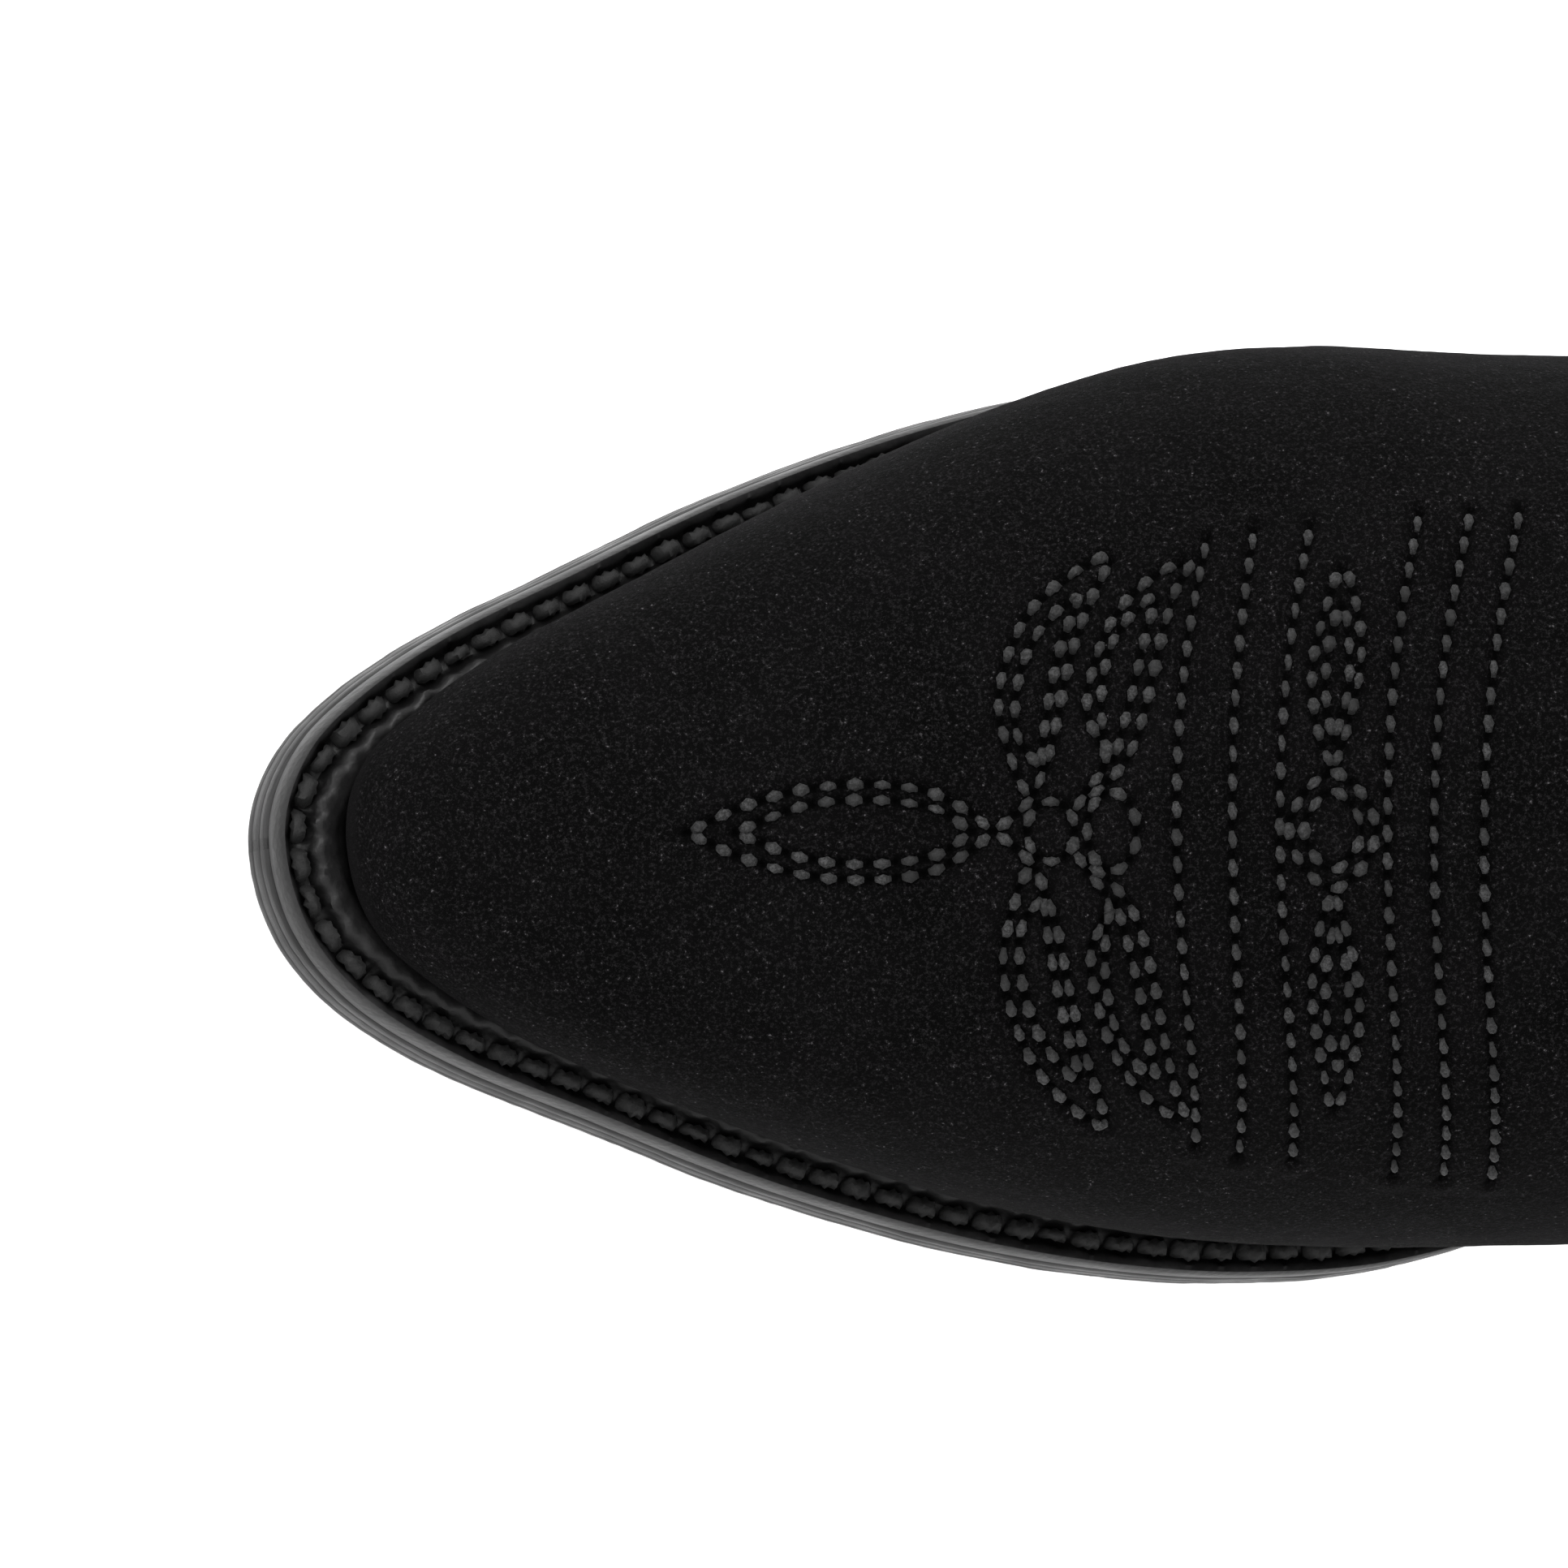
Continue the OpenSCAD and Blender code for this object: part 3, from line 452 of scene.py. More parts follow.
def shell_parts(outer, inner, flow):
    """Closed sheet between two grids, with rounded edges."""
    rows, columns = outer.shape[:2]
    count = rows * columns
    faces = grid_quads(rows, columns)
    ring = ring_of(rows, columns)
    flat_outer = outer.reshape(-1, 3)
    flat_inner = inner.reshape(-1, 3)
    index = np.arange(count).reshape(rows, columns)
    inside = index[1:-1, 1:-1]
    nearest = np.pad(inside, 1, mode="edge").reshape(-1)[ring]
    away = unit(flat_outer[ring] - flat_outer[nearest])
    middle = (flat_outer[ring] + flat_inner[ring]) / 2
    half = (flat_outer[ring] - flat_inner[ring]) / 2
    radius = np.linalg.norm(half, axis=-1, keepdims=True)
    bands = []
    for step in range(1, EDGE_ARC + 1):
        angle = math.pi * step / (EDGE_ARC + 1)
        bands.append(middle + half * math.cos(angle) + away * radius * EDGE_BULGE * math.sin(angle))
    points = np.concatenate([flat_outer, flat_inner, *bands])
    arcs = [2 * count + i * len(ring) + np.arange(len(ring)) for i in range(EDGE_ARC)]
    loops = [ring, *arcs, ring + count]
    quads = [faces, faces[:, ::-1] + count]
    for a, b in zip(loops[:-1], loops[1:]):
        quads.append(np.stack([a, np.roll(a, -1), np.roll(b, -1), b], axis=-1))
    flat_flow = flow.reshape(-1, 2)
    all_flow = np.concatenate([flat_flow, flat_flow] + [flat_flow[ring]] * EDGE_ARC)
    return points, np.concatenate(quads), all_flow


def sweep_parts(rings, flow, looped=False):
    """Tube through rings of points (count, sides, 3)."""
    count, sides = rings.shape[:2]
    if looped:
        rings = np.concatenate([rings, rings[:1]])
        flow = np.concatenate([flow, flow[:1]])
        quads = [grid_quads(count + 1, sides, closed=True)]
    else:
        cap = np.array([[i, i + 1, sides - 2 - i, sides - 1 - i] for i in range(sides // 2 - 1)])
        last = cap + (count - 1) * sides
        quads = [grid_quads(count, sides, closed=True), cap, last[:, ::-1]]
    return rings.reshape(-1, 3), np.concatenate(quads), flow.reshape(-1, 2)


CAP_COLUMNS = 17


def banked_parts(right, left):
    """Solid from its two banks at several levels: (levels, count, 3), lowest level first."""
    levels, count = right.shape[:2]
    loop = np.concatenate([right, left[:, ::-1]], axis=1)
    flow = np.stack([lengths_along(loop, 1), lengths_along(loop)], axis=-1)
    solid = Parts().add(loop, grid_quads(levels, 2 * count, closed=True)[:, ::-1], flow)
    across = np.linspace(0, 1, CAP_COLUMNS)[None, :, None]
    for level, turn in ((0, 1), (levels - 1, -1)):
        cap = mix(left[level][:, None], right[level][:, None], across)
        solid.add(cap, grid_quads(count, CAP_COLUMNS)[:, ::turn], cap[..., :2])
    return solid


def weld(obj):
    """Joins points that coincide, such as those where a wall meets its cap."""
    mesh = bmesh.new()
    mesh.from_mesh(obj.data)
    bmesh.ops.remove_doubles(mesh, verts=mesh.verts, dist=WELD_DISTANCE)
    mesh.to_mesh(obj.data)
    mesh.free()


def piece(name, parts, material, replaces=(), sharp=50, values=None, rides=True):
    """Makes a piece of the boot from gathered parts, in metres."""
    points = np.concatenate(parts.points) * MM
    quads = np.concatenate(parts.quads)
    mesh = bpy.data.meshes.new(name)
    mesh.vertices.add(len(points))
    mesh.vertices.foreach_set("co", points.astype(np.float32).ravel())
    mesh.loops.add(quads.size)
    mesh.loops.foreach_set("vertex_index", quads.astype(np.int32).ravel())
    mesh.polygons.add(len(quads))
    mesh.polygons.foreach_set("loop_start", np.arange(0, quads.size, 4, dtype=np.int32))
    layer = mesh.uv_layers.new(name="flow")
    flow = (np.concatenate(parts.flow) * MM)[quads.ravel()]
    layer.data.foreach_set("uv", flow.astype(np.float32).ravel())
    for key, data in (values or {}).items():
        attribute = mesh.attributes.new(key, "FLOAT", "POINT")
        attribute.data.foreach_set("value", np.asarray(data, np.float32).ravel())
    mesh.update(calc_edges=True)
    mesh.validate()
    mesh.materials.append(material)
    obj = bpy.data.objects.new(name, mesh)
    bpy.context.scene.collection.objects.link(obj)
    mesh.shade_smooth()
    mesh.set_sharp_from_angle(angle=math.radians(sharp))
    if rides:
        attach(obj, "boot")
    if replaces:
        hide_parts(*replaces)
    return obj


# Caps of the eight-sided ends of a stitch.
END_CAP = np.array([[0, 1, 2, 7], [2, 3, 6, 7], [3, 4, 5, 6]])
STITCH_SIDES = 8
STITCH_RINGS = 7


def stitches(parts, path, normal, pitch, radius, fill=0.74, rise=0.35, twist=1.6, slant=0.0, fuzz=0.0):
    """Adds a row of thread stitches along a path on a surface, and returns the needle holes.

    fill is the share of the pitch that a stitch covers, rise its height in radii, twist the turns of its
    ply, slant its sideways lean and fuzz the roughness of its surface in millimetres.
    """
    lengths = lengths_along(path)
    count = max(1, round(lengths[-1] / pitch))
    step = lengths[-1] / count
    t = np.linspace(-1, 1, STITCH_RINGS)
    at = (np.arange(count)[:, None] + 0.5) * step + t * step * fill / 2
    centre = at_lengths(path, lengths, at)
    up = unit(at_lengths(normal, lengths, at))
    ahead = unit(np.gradient(centre, axis=1))
    side = unit(np.cross(up, ahead))
    centre = centre + side * (slant * t * step * fill / 2)[None, :, None]
    arch = np.sqrt(np.maximum(1 - t**2, 0))
    wobble = 1 + 0.1 * noise(centre, pitch * 2.3, 5)
    centre = centre + up * (radius * (rise + 1.1) * arch - radius * 1.1)[None, :, None] * wobble[..., None]
    turn = np.linspace(0, 2 * np.pi, STITCH_SIDES, endpoint=False)
    ply = 1 + 0.2 * np.cos(2 * (turn[None, None] - twist * np.pi * t[None, :, None] / 2))
    uneven = noise(centre[:, STITCH_RINGS // 2], 1.3, 41)[:, None, None]
    size = radius * (0.66 + 0.34 * arch)[None, :, None] * ply * (1 + 0.3 * uneven)
    ring = (
        centre[:, :, None]
        + side[:, :, None] * (np.cos(turn) * size)[..., None]
        + up[:, :, None] * (np.sin(turn) * size * 0.85)[..., None]
    )
    ring = ring + fuzz * np.stack([noise(ring, 0.9, 30 + i) for i in range(3)], axis=-1)
    one = grid_quads(STITCH_RINGS, STITCH_SIDES, closed=True)[:, ::-1]
    ends = np.concatenate([END_CAP, END_CAP[:, ::-1] + (STITCH_RINGS - 1) * STITCH_SIDES])
    one = np.concatenate([one, ends])
    offsets = np.arange(count)[:, None, None] * STITCH_RINGS * STITCH_SIDES
    flow = np.stack(np.broadcast_arrays(at[:, :, None], turn), axis=-1)
    parts.add(ring, one[None] + offsets, flow)
    return at_lengths(path, lengths, np.arange(count + 1) * step)


# ---------------------------------------------------------------------------------------------
# Materials
# ---------------------------------------------------------------------------------------------


def grey(value):
    return (value, value, value)


def scaled(colour, factor):
    return tuple(c * factor for c in colour)


class Shader:
    """Node material with a Principled shader at its end."""

    def __init__(self, name, roughness, specular=0.5):
        self.material = bpy.data.materials.new(name)
        self.material.use_nodes = True
        self.tree = self.material.node_tree
        self.surface = self.tree.nodes["Principled BSDF"]
        self.surface.inputs["Roughness"].default_value = roughness
        self.surface.inputs["Specular IOR Level"].default_value = specular
        self.place = self.tree.nodes.new("ShaderNodeTexCoord").outputs["Object"]
        self.flow = self.tree.nodes.new("ShaderNodeUVMap")
        self.flow.uv_map = "flow"
        self.height = None

    def link(self, output, target):
        self.tree.links.new(output, target)

    def stretched(self, along_mm, across_mm):
        """Coordinates for streaks of this size along and across the flow of a piece."""
        node = self.tree.nodes.new("ShaderNodeMapping")
        node.inputs["Scale"].default_value = (1000 / along_mm, 1000 / across_mm, 1)
        self.link(self.flow.outputs["UV"], node.inputs["Vector"])
        return node.outputs["Vector"]

    def noise(self, size_mm, detail=3, roughness=0.6, vector=None):
        node = self.tree.nodes.new("ShaderNodeTexNoise")
        node.inputs["Scale"].default_value = 1000 / size_mm if vector is None else 1
        node.inputs["Detail"].default_value = detail
        node.inputs["Roughness"].default_value = roughness
        self.link(self.place if vector is None else vector, node.inputs["Vector"])
        return node.outputs["Fac"]

    def cells(self, size_mm):
        node = self.tree.nodes.new("ShaderNodeTexVoronoi")
        node.inputs["Scale"].default_value = 1000 / size_mm
        self.link(self.place, node.inputs["Vector"])
        return node.outputs["Distance"]

    def attribute(self, name):
        node = self.tree.nodes.new("ShaderNodeAttribute")
        node.attribute_name = name
        return node.outputs["Fac"]

    def ramp(self, value, low, high):
        node = self.tree.nodes.new("ShaderNodeMapRange")
        node.inputs["From Min"].default_value = low
        node.inputs["From Max"].default_value = high
        self.link(value, node.inputs["Value"])
        return node.outputs["Result"]

    def math(self, operation, a, b):
        node = self.tree.nodes.new("ShaderNodeMath")
        node.operation = operation
        for socket, value in zip(node.inputs, (a, b)):
            if isinstance(value, (int, float)):
                socket.default_value = value
            else:
                self.link(value, socket)
        return node.outputs["Value"]

    def blend(self, factor, a, b):
        node = self.tree.nodes.new("ShaderNodeMix")
        node.data_type = "RGBA"
        for socket, value in ((node.inputs[6], a), (node.inputs[7], b)):
            if isinstance(value, tuple):
                socket.default_value = (*value, 1)
            else:
                self.link(value, socket)
        self.link(factor, node.inputs[0])
        return node.outputs[2]

    def colour(self, output):
        self.link(output, self.surface.inputs["Base Color"])

    def bump(self, value, depth_mm, strength):
        node = self.tree.nodes.new("ShaderNodeBump")
        node.inputs["Strength"].default_value = strength
        node.inputs["Distance"].default_value = depth_mm * MM
        self.link(value, node.inputs["Height"])
        if self.height is not None:
            self.link(self.height, node.inputs["Normal"])
        self.height = node.outputs["Normal"]
        self.link(self.height, self.surface.inputs["Normal"])

    def vary_roughness(self, value, low, high):
        node = self.tree.nodes.new("ShaderNodeMapRange")
        node.inputs["To Min"].default_value = low
        node.inputs["To Max"].default_value = high
        self.link(value, node.inputs["Value"])
        self.link(node.outputs["Result"], self.surface.inputs["Roughness"])

    def sheen(self, weight, roughness, tint):
        self.surface.inputs["Sheen Weight"].default_value = weight
        self.surface.inputs["Sheen Roughness"].default_value = roughness
        self.surface.inputs["Sheen Tint"].default_value = (*tint, 1)


def suede(name, dark, light):
    """Brushed black suede: soft mottling, short nap and scattered pale fibres."""
    shader = Shader(name, 0.95, 0.03)
    mottle = shader.ramp(shader.noise(14, 4, 0.65), 0.3, 0.7)
    nap = shader.ramp(shader.noise(0.42, 3, 0.85), 0.5, 0.72)
    specks = shader.ramp(shader.noise(0.42, 3, 0.7), 0.67, 0.73)
    base = shader.blend(mottle, dark, light)
    napped = shader.blend(nap, base, scaled(light, 7.5))
    specked = shader.blend(specks, napped, scaled(light, 40))
    ridge = shader.blend(shader.attribute("edge"), specked, scaled(light, 3))
    # Painted shade: near black in the needle holes and darker along the stitch lines that the mesh marks.
    shader.colour(shader.blend(shader.attribute("painted_shade"), ridge, grey(0.0004)))
    shader.bump(shader.noise(2.6, 3, 0.6), 0.3, 0.5)
    shader.bump(shader.noise(0.45, 4, 0.8), 0.22, 0.9)
    shader.sheen(0.025, 0.35, (0.3, 0.3, 0.31))
    return shader.material


def grained(name, dark, light, roughness, grain_mm=0.8):
    """Smooth finished leather with a fine grain and worn patches."""
    shader = Shader(name, roughness, 0.22)
    patches = shader.ramp(shader.noise(9, 4, 0.6), 0.32, 0.7)
    pores = shader.ramp(shader.noise(0.5, 3, 0.7), 0.35, 0.7)
    base = shader.blend(patches, dark, light)
    pored = shader.blend(shader.math("MULTIPLY", pores, 0.35), base, scaled(dark, 0.5))
    # Painted shade: darker where the mesh marks shaded places, such as the welt's stitch channel and its
    # part under the upper.
    shader.colour(shader.blend(shader.attribute("painted_shade"), pored, scaled(dark, 0.12)))
    shader.bump(shader.cells(grain_mm), 0.08, 0.6)
    shader.bump(shader.noise(0.35, 3, 0.7), 0.05, 0.6)
    shader.vary_roughness(patches, roughness * 0.85, min(1, roughness * 1.2))
    return shader.material


def layered(name, dark, light, roughness):
    """Cut and burnished edge of stacked leather: fine streaks along the edge."""
    shader = Shader(name, roughness, 0.3)
    streaks = shader.noise(1, 4, 0.7, shader.stretched(14, 0.42))
    fibres = shader.noise(1, 3, 0.8, shader.stretched(2.2, 0.18))
    patches = shader.ramp(shader.noise(6, 3, 0.6), 0.3, 0.7)
    tone = shader.blend(shader.ramp(streaks, 0.34, 0.66), dark, light)
    shader.colour(shader.blend(shader.math("MULTIPLY", patches, 0.4), tone, dark))
    shader.bump(streaks, 0.1, 0.7)
    shader.bump(fibres, 0.06, 0.6)
    shader.vary_roughness(patches, roughness * 0.8, roughness * 1.25)
    return shader.material


def thread(name, dark, light, roughness):
    """Waxed twisted thread with fine fibres."""
    shader = Shader(name, roughness, 0.4)
    fibres = shader.noise(0.4, 4, 0.85)
    batches = shader.noise(5, 2, 0.5)
    base = shader.blend(shader.ramp(batches, 0.3, 0.7), dark, light)
    gaps = shader.math("MULTIPLY", shader.ramp(fibres, 0.44, 0.54), 0.97)
    shader.colour(shader.blend(gaps, base, dark))
    shader.bump(fibres, 0.12, 1.0)
    shader.sheen(0.05, 0.4, (0.5, 0.5, 0.5))
    return shader.material


def fibrous(name, dark, light, grain_mm, roughness=0.85):
    """Unfinished board, cork, felt or wood."""
    shader = Shader(name, roughness, 0.25)
    clumps = shader.ramp(shader.noise(grain_mm, 4, 0.7), 0.35, 0.68)
    flecks = shader.ramp(shader.cells(grain_mm * 0.6), 0.1, 0.5)
    base = shader.blend(clumps, dark, light)
    shader.colour(shader.blend(shader.math("MULTIPLY", flecks, 0.3), base, dark))
    shader.bump(clumps, 0.1, 0.6)
    return shader.material


def brushed_metal(name, colour, roughness):
    """Steel or brass with fine scratches."""
    shader = Shader(name, roughness, 0.5)
    shader.surface.inputs["Metallic"].default_value = 1
    scratches = shader.noise(0.3, 3, 0.7)
    shader.colour(shader.blend(shader.ramp(scratches, 0.3, 0.7), scaled(colour, 0.8), colour))
    shader.vary_roughness(scratches, roughness * 0.8, roughness * 1.4)
    return shader.material


BLACK_SUEDE = suede("black_suede", grey(0.0009), (0.0021, 0.002, 0.0021))
SHAFT_SUEDE = suede("shaft_suede", grey(0.0005), grey(0.002))
SOLE_EDGE_LEATHER = layered("sole_edge_leather", (0.006, 0.0058, 0.006), (0.024, 0.0233, 0.024), 0.42)
HEEL_LEATHER = layered("heel_stack_leather", (0.005, 0.0049, 0.005), (0.019, 0.0186, 0.019), 0.42)
WELT_LEATHER = grained("welt_leather", (0.007, 0.0068, 0.007), (0.017, 0.0166, 0.017), 0.42)
TRIM_LEATHER = grained("trim_leather", (0.003, 0.003, 0.0031), (0.0075, 0.0075, 0.0078), 0.5)
STRAP_LEATHER = grained("strap_leather", (0.003, 0.003, 0.0031), (0.0075, 0.0075, 0.0078), 0.55)
LINING_LEATHER = grained("lining_leather", (0.2, 0.115, 0.06), (0.32, 0.2, 0.115), 0.62, 1.2)
INSOLE_LEATHER = grained("insole_leather", (0.22, 0.14, 0.08), (0.34, 0.23, 0.14), 0.7, 1.4)
SOCK_LEATHER = grained("sock_leather", (0.012, 0.012, 0.0125), (0.03, 0.03, 0.031), 0.6, 1.2)
WELT_THREAD = thread("welt_thread", grey(0.0012), grey(0.0055), 0.6)
TONAL_THREAD = thread("tonal_thread", (0.002, 0.002, 0.0021), (0.04, 0.04, 0.041), 0.75)
HEEL_RUBBER = fibrous("heel_rubber", grey(0.006), grey(0.014), 0.9, 0.7)
CORK = fibrous("cork", (0.2, 0.11, 0.05), (0.4, 0.26, 0.14), 1.6)
STIFF_BOARD = fibrous("stiffener_board", (0.4, 0.33, 0.23), (0.55, 0.48, 0.36), 1.2)
PEG_WOOD = fibrous("peg_wood", (0.42, 0.28, 0.13), (0.6, 0.44, 0.24), 0.7)
SPRING_STEEL = brushed_metal("spring_steel", (0.4, 0.41, 0.43), 0.35)
NAIL_BRASS = brushed_metal("nail_brass", (0.72, 0.5, 0.2), 0.35)

NODE_MATERIALS = {
    "cork_filler": CORK, "shank": SPRING_STEEL, "insole": INSOLE_LEATHER,
    "sock_liner": SOCK_LEATHER, "heel_pad": SOCK_LEATHER, "sole_pegs": PEG_WOOD,
    "heel_nails": NAIL_BRASS, "toe_puff": STIFF_BOARD, "heel_stiffener": STIFF_BOARD,
    "vamp_lining": LINING_LEATHER, "counter_lining": LINING_LEATHER,
}


def finish_nodes():
    """The hidden and inner CAD nodes keep their shape and get their real materials."""
    for name, material in NODE_MATERIALS.items():
        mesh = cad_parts[name].data
        mesh.materials.clear()
        mesh.materials.append(material)


# ---------------------------------------------------------------------------------------------
# Sole, welt and heel
# ---------------------------------------------------------------------------------------------

WELT_LOW = OUTSOLE_T + GAP / 2
WELT_TOP = WELT_LOW + WELT_T
WELT_PITCH = 3.8
# The stitch line lies this far inside the welt's edge, and the waist behind its end is pegged.
CREVICE_INSET = 2.35
WELT_THREAD_R = 0.85
RIM_STEP = 0.38
# Rows of the welt's section that make its raised lip.
LIP_ROWS = slice(12, 17)
STITCH_END = float(measure(134, 0, LENGTH))


def toe_share(k):
    """1 at the tip of the toe, fading to 0 along the sides."""
    return np.exp(-((np.abs(k) / 0.12) ** 2))


def edge_slant(k):
    """How far the sole's trimmed edge leans inward from the ground to the top of the welt."""
    return 0.7 + 0.4 * toe_share(k)


def edge_inset(k, z):
    """Inset of the leaning edge at the height z."""
    return edge_slant(k) * z / WELT_TOP


def lip_inset(k):
    """Inset from which the welt's upper side is laid out: its rim is narrower at the toe."""
    return edge_slant(k) - 0.5 * toe_share(k)


# Height and extra inset of the outsole's edge, with two pressed lines between its layers.
OUTSOLE_PROFILE = [
    (0, 1.6), (0.12, 0.8), (0.5, 0.2), (1.0, 0), (1.55, 0), (1.68, 0.07), (1.8, 0), (2.5, -0.03),
    (3.0, 0), (3.12, 0.07), (3.24, 0), (3.9, 0.02), (4.3, 0.2), (OUTSOLE_T, 0.6),
]


def outsole_bank(k):
    """One side of the outsole at each height of its profile, trimmed a little unevenly."""
    bank = []
    for z, inset in OUTSOLE_PROFILE:
        edge = rim_point(k, 0 * k, z)
        wander = 0.07 * noise(edge, 5, 3) + 0.03 * noise(edge, 1.1, 4)
        bank.append(rim_point(k, edge_inset(k, z) + inset + wander, z))
    return np.array(bank)


def make_outsole():
    t = np.linspace(0.004, 0.996, 700)
    parts = banked_parts(outsole_bank(t), outsole_bank(-t))
    weld(piece("outsole_leather", parts, SOLE_EDGE_LEATHER, replaces=["outsole"], sharp=60))


def rim_path(reach):
    """Measures round the toe from -reach to reach, spaced evenly along the edge, and their lengths."""
    k = np.linspace(-reach, reach, 4000)
    run = lengths_along(rim_point(k, 0 * k, 0))
    lengths = np.linspace(0, run[-1], int(run[-1] / RIM_STEP))
    return np.interp(lengths, run, k), lengths


def make_welt():
    """Strip round the sole: a flat rim, a sunk stitch line and the scalloped lip that it pulls up."""
    k, run = rim_path(BREAST_MEASURE)
    sewn = 1 - ease((np.abs(k) - STITCH_END) / 0.03)
    phase = np.cos(2 * np.pi * run / WELT_PITCH) * sewn
    pulled = 0.5 - 0.5 * phase
    hole = np.maximum(phase, 0) ** 3
    flat = 0 * k
    lip = lip_inset(k)
    # Each row: inset, height against the welt's top, darkness. The darkness is painted shade, given only
    # where the welt is sewn: deep in the sunk stitch line, slight on the lip's crest, darker on its flanks
    # and deep under the upper's edge.
    section = [
        (edge_inset(k, WELT_LOW) + 0.5, flat - WELT_T, 0),
        (edge_inset(k, WELT_LOW + 0.35) + 0.06, flat - WELT_T + 0.35, 0),
        (edge_inset(k, WELT_LOW + 1.3), flat - WELT_T + 1.3, 0),
        (edge_inset(k, WELT_LOW + 2.5), flat - WELT_T + 2.5, 0),
        (edge_slant(k) + 0.06, flat - 0.38, 0),
        (edge_slant(k) + 0.2, flat - 0.08, 0),
        (edge_slant(k) + 0.28, flat + 0.02, 0),
        (lip + 0.8 + 0.12 * pulled, flat - 0.02, 0.1),
        (lip + 1.15 + 0.12 * pulled, (-0.4 - 0.2 * hole) * sewn, 0.75),
        (lip + 1.6, (-1.0 - 0.4 * hole) * sewn, 1),
        (lip + 2.3, (-1.15 - 0.6 * hole) * sewn, 1),
        (lip + 3.1, (-0.95 - 0.4 * hole) * sewn, 1),
        (lip + 3.75 - 0.3 * pulled, (-0.25 + 0.05 * phase) * sewn, 0.8),
        (lip + 4.2 - 0.5 * pulled, flat + 0.45 + 0.2 * pulled, 0.45),
        (lip + 4.5 - 0.45 * pulled, flat + 0.72 + 0.14 * pulled, 0.1),
        (lip + 5.0 - 0.2 * pulled, flat + 0.8 + 0.05 * pulled, 0.45),
        (lip + 5.9, flat + 0.7, 0.5),
        (lip + 6.5, flat + 0.4, 0.95),
        (12 + flat, flat - 0.1, 1),
        (12 + flat, flat - WELT_T, 1),
    ]
    rings = np.stack([rim_point(k, inset, WELT_TOP + rise) for inset, rise, _ in section], axis=1)
    shade = np.array([row[2] for row in section])
    rings[..., 2] += 0.05 * noise(rings, 2.4, 7) + 0.16 * noise(rings, 1.1, 8) * shade
    rough = rings[:, LIP_ROWS]
    rough += 0.3 * noise(rough, 1.7, 9)[..., None] * shade[LIP_ROWS, None]
    flow = np.stack(np.broadcast_arrays(run[:, None], lengths_along(rings, 1)), axis=-1)
    parts = Parts().add(*sweep_parts(rings[:, ::-1], flow[:, ::-1]))
    piece(
        "welt_strip", parts, WELT_LEATHER, replaces=["welt"], sharp=50,
        values={"painted_shade": (sewn[:, None] * shade)[:, ::-1]},
    )


def make_welt_stitching():
    k, _ = rim_path(STITCH_END)
    path = rim_point(k, lip_inset(k) + CREVICE_INSET, WELT_TOP - 0.5)
    up = np.broadcast_to(np.array([0, 0, 1.0]), path.shape)
    parts = Parts()
    stitches(parts, path, up, WELT_PITCH, WELT_THREAD_R, fill=0.88, rise=0.3, twist=2.4, fuzz=0.16)
    piece("welt_thread", parts, WELT_THREAD, replaces=["welt_stitching"])


def make_rand():
    """Horseshoe strip round the heel seat, behind the ends of the welt."""
    t = np.linspace(BREAST_MEASURE + 0.0008, 0.998, 260)
    levels = [
        (WELT_LOW, 0.5), (WELT_LOW + 0.3, 0.08), (WELT_LOW + 1.5, 0), (WELT_TOP - 0.4, 0.06),
        (WELT_TOP - 0.08, 0.3), (WELT_TOP + 0.02, 0.7),
    ]
    banks = [
        np.array([rim_point(side * t, edge_inset(t, z) + inset, z) for z, inset in levels])
        for side in (1, -1)
    ]
    parts = banked_parts(banks[0], banks[1])
    weld(piece("heel_rand_strip", parts, WELT_LEATHER, replaces=["heel_rand"], sharp=50))


SEAT_HEIGHT = 36
CAP_BREAST = 226
CAP_BACK = 269.5
BLOCK_BACK = LENGTH - 0.6
STACK_TOP = 31.6
LIFT_COUNT = 5
LIFT_T = (STACK_TOP - HEEL_CAP_T) / (LIFT_COUNT - 1)


def heel_bank(t, z, inset, side):
    """One side of the heel block's outline at the heights z."""
    s = station(t, 0, LENGTH)
    level = np.clip(z / SEAT_HEIGHT, 0, 1)
    breast = mix(CAP_BREAST, BREAST + 1, level)
    back = mix(CAP_BACK, BLOCK_BACK, level**1.2)
    share = (s - BREAST) / (LENGTH - BREAST)
    width = EDGE_CURVE(t)[..., 0 if side > 0 else 1] * mix(HEEL_TAPER, 0.985, level)
    at = mix(breast + inset, back - inset, share)
    hollow = 1.2 * (1 - share) ** 6 * (1 - (2 * level - 1) ** 2)
    return place(at + hollow, side * (width - inset), z)


# Edge of a heel layer: (share of its height, share of the groove's depth).
LAYER_PROFILE = [(0, 1), (0.06, 0.35), (0.16, 0), (0.5, 0), (0.84, 0), (0.94, 0.35), (1, 1)]
# Measures round the heel, closer together near its back.
HEEL_T = np.concatenate([np.linspace(BREAST_MEASURE, 0.9, 110), np.linspace(0.903, 0.9995, 110)])


def layer_bank(side, low, high, groove):
    """One side of a heel layer between the heights low and high."""
    s = station(HEEL_T, 0, LENGTH)
    bank = []
    for share, depth in LAYER_PROFILE:
        z = mix(low, high, share) + 0 * s
        wander = 0.06 * noise(place(s, side * 30, z), 6, 11)
        bank.append(heel_bank(HEEL_T, z, depth * groove + wander, side))
    return np.array(bank)


def make_heel_layer(name, node, low, high, groove, material=HEEL_LEATHER):
    parts = banked_parts(layer_bank(1, low, high, groove), layer_bank(-1, low, high, groove))
    weld(piece(name, parts, material, replaces=[node], sharp=50))


